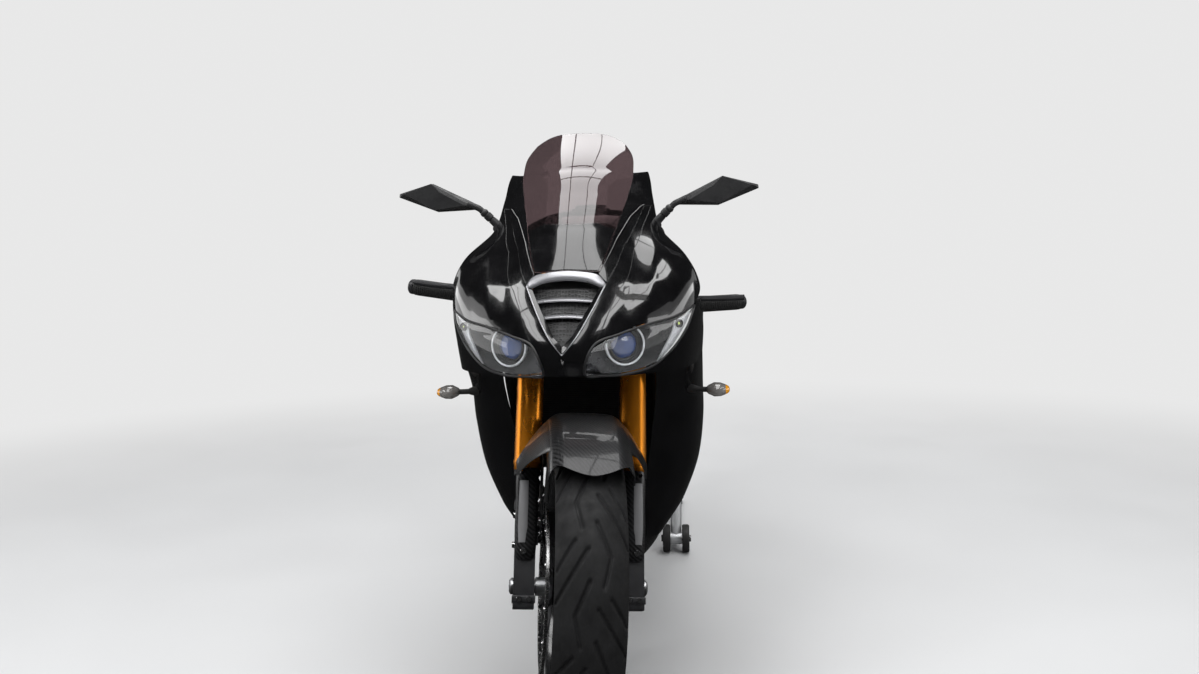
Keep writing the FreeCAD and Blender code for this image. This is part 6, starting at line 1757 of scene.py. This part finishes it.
EYE = Vector((152, 770, 304))
AXIS = Vector((math.cos(TILT), 0, math.sin(TILT)))
leg = joined(turned([(0, 15), (0.06, 15), (0.94, 15), (1, 15)], EYE - AXIS * 17, EYE + AXIS * 13, 32),
             pipe([(152, 776, 304), (154, 840, 306), (158, 930, 311), (162, 1012, 315)], [13, 11, 10.5, 10], 20),
             plate(rounded([(147, 996), (181, 996), (183, 1034), (147, 1038)], 8), 302.5, 307.5, "z"),
             pipe([(160, 960, 313), (176, 962, 316), (188, 964, 318)], 5, 12), turned([(0, 10), (0.5, 10), (1, 8)],
                                                                                      EYE + AXIS * 13,
                                                                                      EYE + AXIS * 15.5, 6))
make("prop_stand_leg", leg, "cast_black", "side_stand_body", bevel=0.8, replaces="side_stand")

axle_at = (176, 1190, 42)
side_frame = joined(tube([(176, 1296, 350), (176, 1194, 50)], 16, 10, 28), tube([(176, 1184, 46), (176, 1784, 34)], 16,
                                                                                10, 28),
                    plate(rounded([(1180, 60), (1206, 28), (1330, 30), (1330, 46), (1228, 120), (1212, 128)], 8), 173,
                          179), turned([(0, 18), (1, 18)], (158.5, *axle_at[1:]), (193.5, *axle_at[1:]), 32))
make("stand_tubes", joined(both(side_frame), rod((-176, 1784, 34), (176, 1784, 34), 16, 28)), "stand_paint", "root",
     angle=45, bevel=0.8, replaces="paddock_stand")
rest = plate(rounded([(1274, 352), (1318, 352), (1320, 362), (1312, 362), (1304, 358.5), (1288, 358.5), (1280, 362),
                      (1272, 362)], 2), 159, 193)
on_both("stand_pads", rest, "rubber", "root", slot="stand_paint", bevel=1.0)
feet = joined(plate(rounded([(1756, 0.4), (1799, 0.4), (1796, 20), (1760, 20)], 4), 158, 194),
              turned([(0, 18), (1, 18)], (192, 1784, 34), (199, 1784, 34), 24))
on_both("stand_feet", feet, "rubber", "root", slot="stand_paint", bevel=1.2)
spindle = joined(turned([(0, 8), (1, 8)], (134, *axle_at[1:]), (218, *axle_at[1:]), 24),
                 turned([(0, 12), (1, 11)], (216, *axle_at[1:]), (221, *axle_at[1:]), 6),
                 turned([(0, 12), (1, 11)], (136, *axle_at[1:]), (131, *axle_at[1:]), 6))
on_both("stand_axles", spindle, "bright_steel", "root", slot="stand_paint", bevel=0.4)


def castor(low):
    tread = [(low, 24), (low, 38), (low + 3, 41.4), (low + 6, 42), (low + 16, 42), (low + 19, 41.4), (low + 22, 38),
             (low + 22, 24)]
    return placed(lathe(tread, 56), Matrix.Translation((0, *axle_at[1:])))


def castor_hub(low):
    hub = lathe([(low + 1, 8.3), (low + 1, 14), (low + 4, 15), (low + 4, 24.5), (low + 18, 24.5), (low + 18, 15),
                 (low + 21, 14), (low + 21, 8.3)], 48)
    return placed(hub, Matrix.Translation((0, *axle_at[1:])))


for name, turn in SIDES:
    make(f"stand_castors_{name}", turn(joined(castor(136), castor(194))), "rubber", f"stand_wheels_{name}_body",
         bevel=0.6, replaces=f"stand_wheels_{name}")
    make(f"stand_castor_hubs_{name}", turn(joined(castor_hub(136), castor_hub(194))), "cast_black",
         f"stand_wheels_{name}_body", slot="rubber", bevel=0.6)


# ---- finishes of the source's own solids that stay in view

add_finish("tyre_rubber", (0.022, 0.022, 0.023), 0.62, grain=0.00008, grain_size=0.0012)
add_finish("seat_cover", (0.02, 0.02, 0.021), 0.6, grain=0.0002, grain_size=0.0014)
add_finish("carbon_weave", (0.03, 0.03, 0.032), 0.2, **GLOSS)
for part in frame["record"]["subparts"]:
    solid = bpy.data.objects[part["node"]]
    solid.data.materials.clear()
    solid.data.materials.append(FINISH[part["material_slot"]])


# ---- floor, light and camera

BACKDROP = 0.81  # brightness of the background: world and far floor

def mesh_object(name, points, faces, surface):
    mesh = bpy.data.meshes.new(name)
    mesh.from_pydata([tuple(p) for p in points], [], faces)
    mesh.materials.append(surface)
    stage_piece = bpy.data.objects.new(name, mesh)
    bpy.context.scene.collection.objects.link(stage_piece)
    return stage_piece


floor_paint = finish("floor_paint", (0.74, 0.745, 0.75), 0.45, blotch=0.012, blotch_size=0.9, rough_swing=0.1)


def looked_at(tree):
    """1 for camera, mirrored and transmitted rays, which are shown the background."""
    path = tree.nodes.new("ShaderNodeLightPath").outputs
    either = maths(tree, "MAXIMUM", path["Is Camera Ray"], path["Is Glossy Ray"])
    return maths(tree, "MAXIMUM", either, path["Is Transmission Ray"])


def far_white(made, near, far, strength):
    """Beyond a distance the camera sees the floor as bright as the backdrop, so no horizon shows."""
    tree = made.node_tree
    shader = tree.nodes["Principled BSDF"]
    split = tree.nodes.new("ShaderNodeSeparateXYZ")
    tree.links.new(tree.nodes.new("ShaderNodeTexCoord").outputs["Object"], split.inputs[0])
    x, y = (maths(tree, "MULTIPLY", split.outputs[k], split.outputs[k]) for k in (0, 1))
    away = maths(tree, "SQRT", maths(tree, "ADD", x, y))
    spread = tree.nodes.new("ShaderNodeMapRange")
    spread.interpolation_type = "SMOOTHSTEP"
    spread.inputs["From Min"].default_value = near
    spread.inputs["From Max"].default_value = far
    tree.links.new(away, spread.inputs["Value"])
    seen = looked_at(tree)
    share = maths(tree, "MULTIPLY", spread.outputs["Result"], seen)
    light = tree.nodes.new("ShaderNodeEmission")
    light.inputs["Strength"].default_value = strength
    mix = tree.nodes.new("ShaderNodeMixShader")
    tree.links.new(share, mix.inputs["Fac"])
    tree.links.new(shader.outputs[0], mix.inputs[1])
    tree.links.new(light.outputs[0], mix.inputs[2])
    tree.links.new(mix.outputs[0], tree.nodes["Material Output"].inputs["Surface"])


far_white(floor_paint, 1.6, 4.6, BACKDROP)
mesh_object("floor", [(-40, -40, 0), (40, -40, 0), (40, 40, 0), (-40, 40, 0)], [(0, 1, 2, 3)], floor_paint)


def glow(name, strength):
    """Plain white emission."""
    made = bpy.data.materials.new(name)
    made.use_nodes = True
    tree = made.node_tree
    tree.nodes.clear()
    light = tree.nodes.new("ShaderNodeEmission")
    light.inputs["Color"].default_value = (1, 1, 1, 1)
    light.inputs["Strength"].default_value = strength
    out = tree.nodes.new("ShaderNodeOutputMaterial")
    tree.links.new(light.outputs[0], out.inputs["Surface"])
    return made


def pane(name, corners, strength):
    """Bright pane that shows in reflections only."""
    piece = mesh_object(name, corners, [(0, 1, 2, 3)], glow(name + "_glow", strength))
    piece.visible_camera = piece.visible_diffuse = piece.visible_transmission = piece.visible_shadow = False


WINDOWS = [("left", (-3.5, -2.95, -2.35), ((-3.4, -1.7), (-1.62, -0.25)), 6.0),
           ("middle", (-1.05, -0.47, 0.5, 1.2), ((-4.2, 0.2), (0.28, 2.6)), 4.2),
           ("right", (2.1, 2.45, 2.9), ((-3.0, -1.4), (-1.2, -0.25)), 6.0)]
for name, posts, bays, strength in WINDOWS:
    for k, (low, high) in enumerate(zip(posts, posts[1:])):
        for m, (start, end) in enumerate(bays):
            pane(f"skylight_{name}_{k}{m}", [(low + 0.02, start, 4.0), (high - 0.02, start, 4.0),
                                             (high - 0.02, end, 4.0), (low + 0.02, end, 4.0)], strength)
pane("wall_left", [(-4.2, -1.5, 0.4), (-4.2, -1.5, 2.6), (-4.2, 3.5, 2.6), (-4.2, 3.5, 0.4)], 1.1)
pane("wall_right", [(4.2, -1.5, 0.4), (4.2, -1.5, 2.6), (4.2, 3.5, 2.6), (4.2, 3.5, 0.4)], 0.5)


# Dark cloths round the bike, as a studio hangs them for black bodywork. Only mirrored rays see them, and they
# cover the pale background on every side, so the gloss mirrors cloth and panes.
cloth = glow("flag_cloth", 0.02)
LOW, TOP, NEAR, FAR, SIDE_X = 0.004, 4.4, -7.0, 6.0, 5.2
FLAGS = {
    "flag_top": [(-SIDE_X, NEAR, TOP), (SIDE_X, NEAR, TOP), (SIDE_X, FAR, TOP), (-SIDE_X, FAR, TOP)],
    "flag_front": [(-SIDE_X, NEAR, LOW), (SIDE_X, NEAR, LOW), (SIDE_X, NEAR, TOP), (-SIDE_X, NEAR, TOP)],
    "flag_back": [(-SIDE_X, FAR, LOW), (SIDE_X, FAR, LOW), (SIDE_X, FAR, TOP), (-SIDE_X, FAR, TOP)],
    "flag_left": [(-SIDE_X, NEAR, LOW), (-SIDE_X, FAR, LOW), (-SIDE_X, FAR, TOP), (-SIDE_X, NEAR, TOP)],
    "flag_right": [(SIDE_X, NEAR, LOW), (SIDE_X, FAR, LOW), (SIDE_X, FAR, TOP), (SIDE_X, NEAR, TOP)],
    "flag_floor": [(-SIDE_X, NEAR, LOW), (SIDE_X, NEAR, LOW), (SIDE_X, FAR, LOW), (-SIDE_X, FAR, LOW)],
}
for name, corners in FLAGS.items():
    piece = mesh_object(name, corners, [(0, 1, 2, 3)], cloth)
    piece.visible_camera = piece.visible_diffuse = piece.visible_shadow = piece.visible_transmission = False


for name, x in (("strip_left", -4.1), ("strip_right", 4.1)):
    pane(name, [(x, -1.4, 1.25), (x, -1.4, 1.85), (x, 3.0, 1.85), (x, 3.0, 1.25)], 3.0)


def area(name, at, target, size, power):
    lamp = bpy.data.lights.new(name, "AREA")
    lamp.shape, lamp.size, lamp.size_y, lamp.energy = "RECTANGLE", size[0], size[1], power
    piece = bpy.data.objects.new(name, lamp)
    piece.location = at
    piece.rotation_euler = (Vector(target) - Vector(at)).to_track_quat("-Z", "Y").to_euler()
    bpy.context.scene.collection.objects.link(piece)
    piece.visible_glossy = False
    return piece


area("key", (-2.6, -4.2, 4.4), (0, 0, 0.5), (3.0, 3.0), 150)
area("fill", (3.4, -4.0, 3.2), (0, 0, 0.5), (3.0, 3.0), 80)
area("top", (0, -0.5, 4.8), (0, -0.2, 0), (5.5, 5.5), 190)
area("back", (0.5, 5.0, 3.6), (0, 0.4, 0.6), (4.0, 3.0), 110)

world = bpy.data.worlds.new("studio")
bpy.context.scene.world = world
world.use_nodes = True
sky = world.node_tree
backdrop = sky.nodes["Background"]
backdrop.inputs["Color"].default_value = (0.9, 0.91, 0.93, 1)
backdrop.inputs["Strength"].default_value = 0.22
white = sky.nodes.new("ShaderNodeBackground")
white.inputs["Color"].default_value = (1, 1, 1, 1)
white.inputs["Strength"].default_value = BACKDROP
mix = sky.nodes.new("ShaderNodeMixShader")
sky.links.new(looked_at(sky), mix.inputs["Fac"])
sky.links.new(backdrop.outputs[0], mix.inputs[1])
sky.links.new(white.outputs[0], mix.inputs[2])
sky.links.new(mix.outputs[0], sky.nodes["World Output"].inputs["Surface"])

YAW, PITCH, ROLL = (math.radians(a) for a in (4.834, 4.924, 1.2568))
ahead = Vector((-math.sin(YAW) * math.cos(PITCH), math.cos(YAW) * math.cos(PITCH), -math.sin(PITCH)))
level = Vector((math.cos(YAW), math.sin(YAW), 0))
below = ahead.cross(level)
right = math.cos(ROLL) * level + math.sin(ROLL) * below
down = -math.sin(ROLL) * level + math.cos(ROLL) * below
lens_data = bpy.data.cameras.new("photo_camera")
lens_data.lens = 29.77
lens_data.sensor_width = 36.0
camera = bpy.data.objects.new("photo_camera", lens_data)
turn = Matrix((right, -down, -ahead)).transposed().to_4x4()
camera.matrix_world = Matrix.Translation((0.2058, -2.5269, 0.9175)) @ turn
bpy.context.scene.collection.objects.link(camera)
bpy.context.scene.camera = camera
bpy.context.scene.view_settings.view_transform = "Standard"
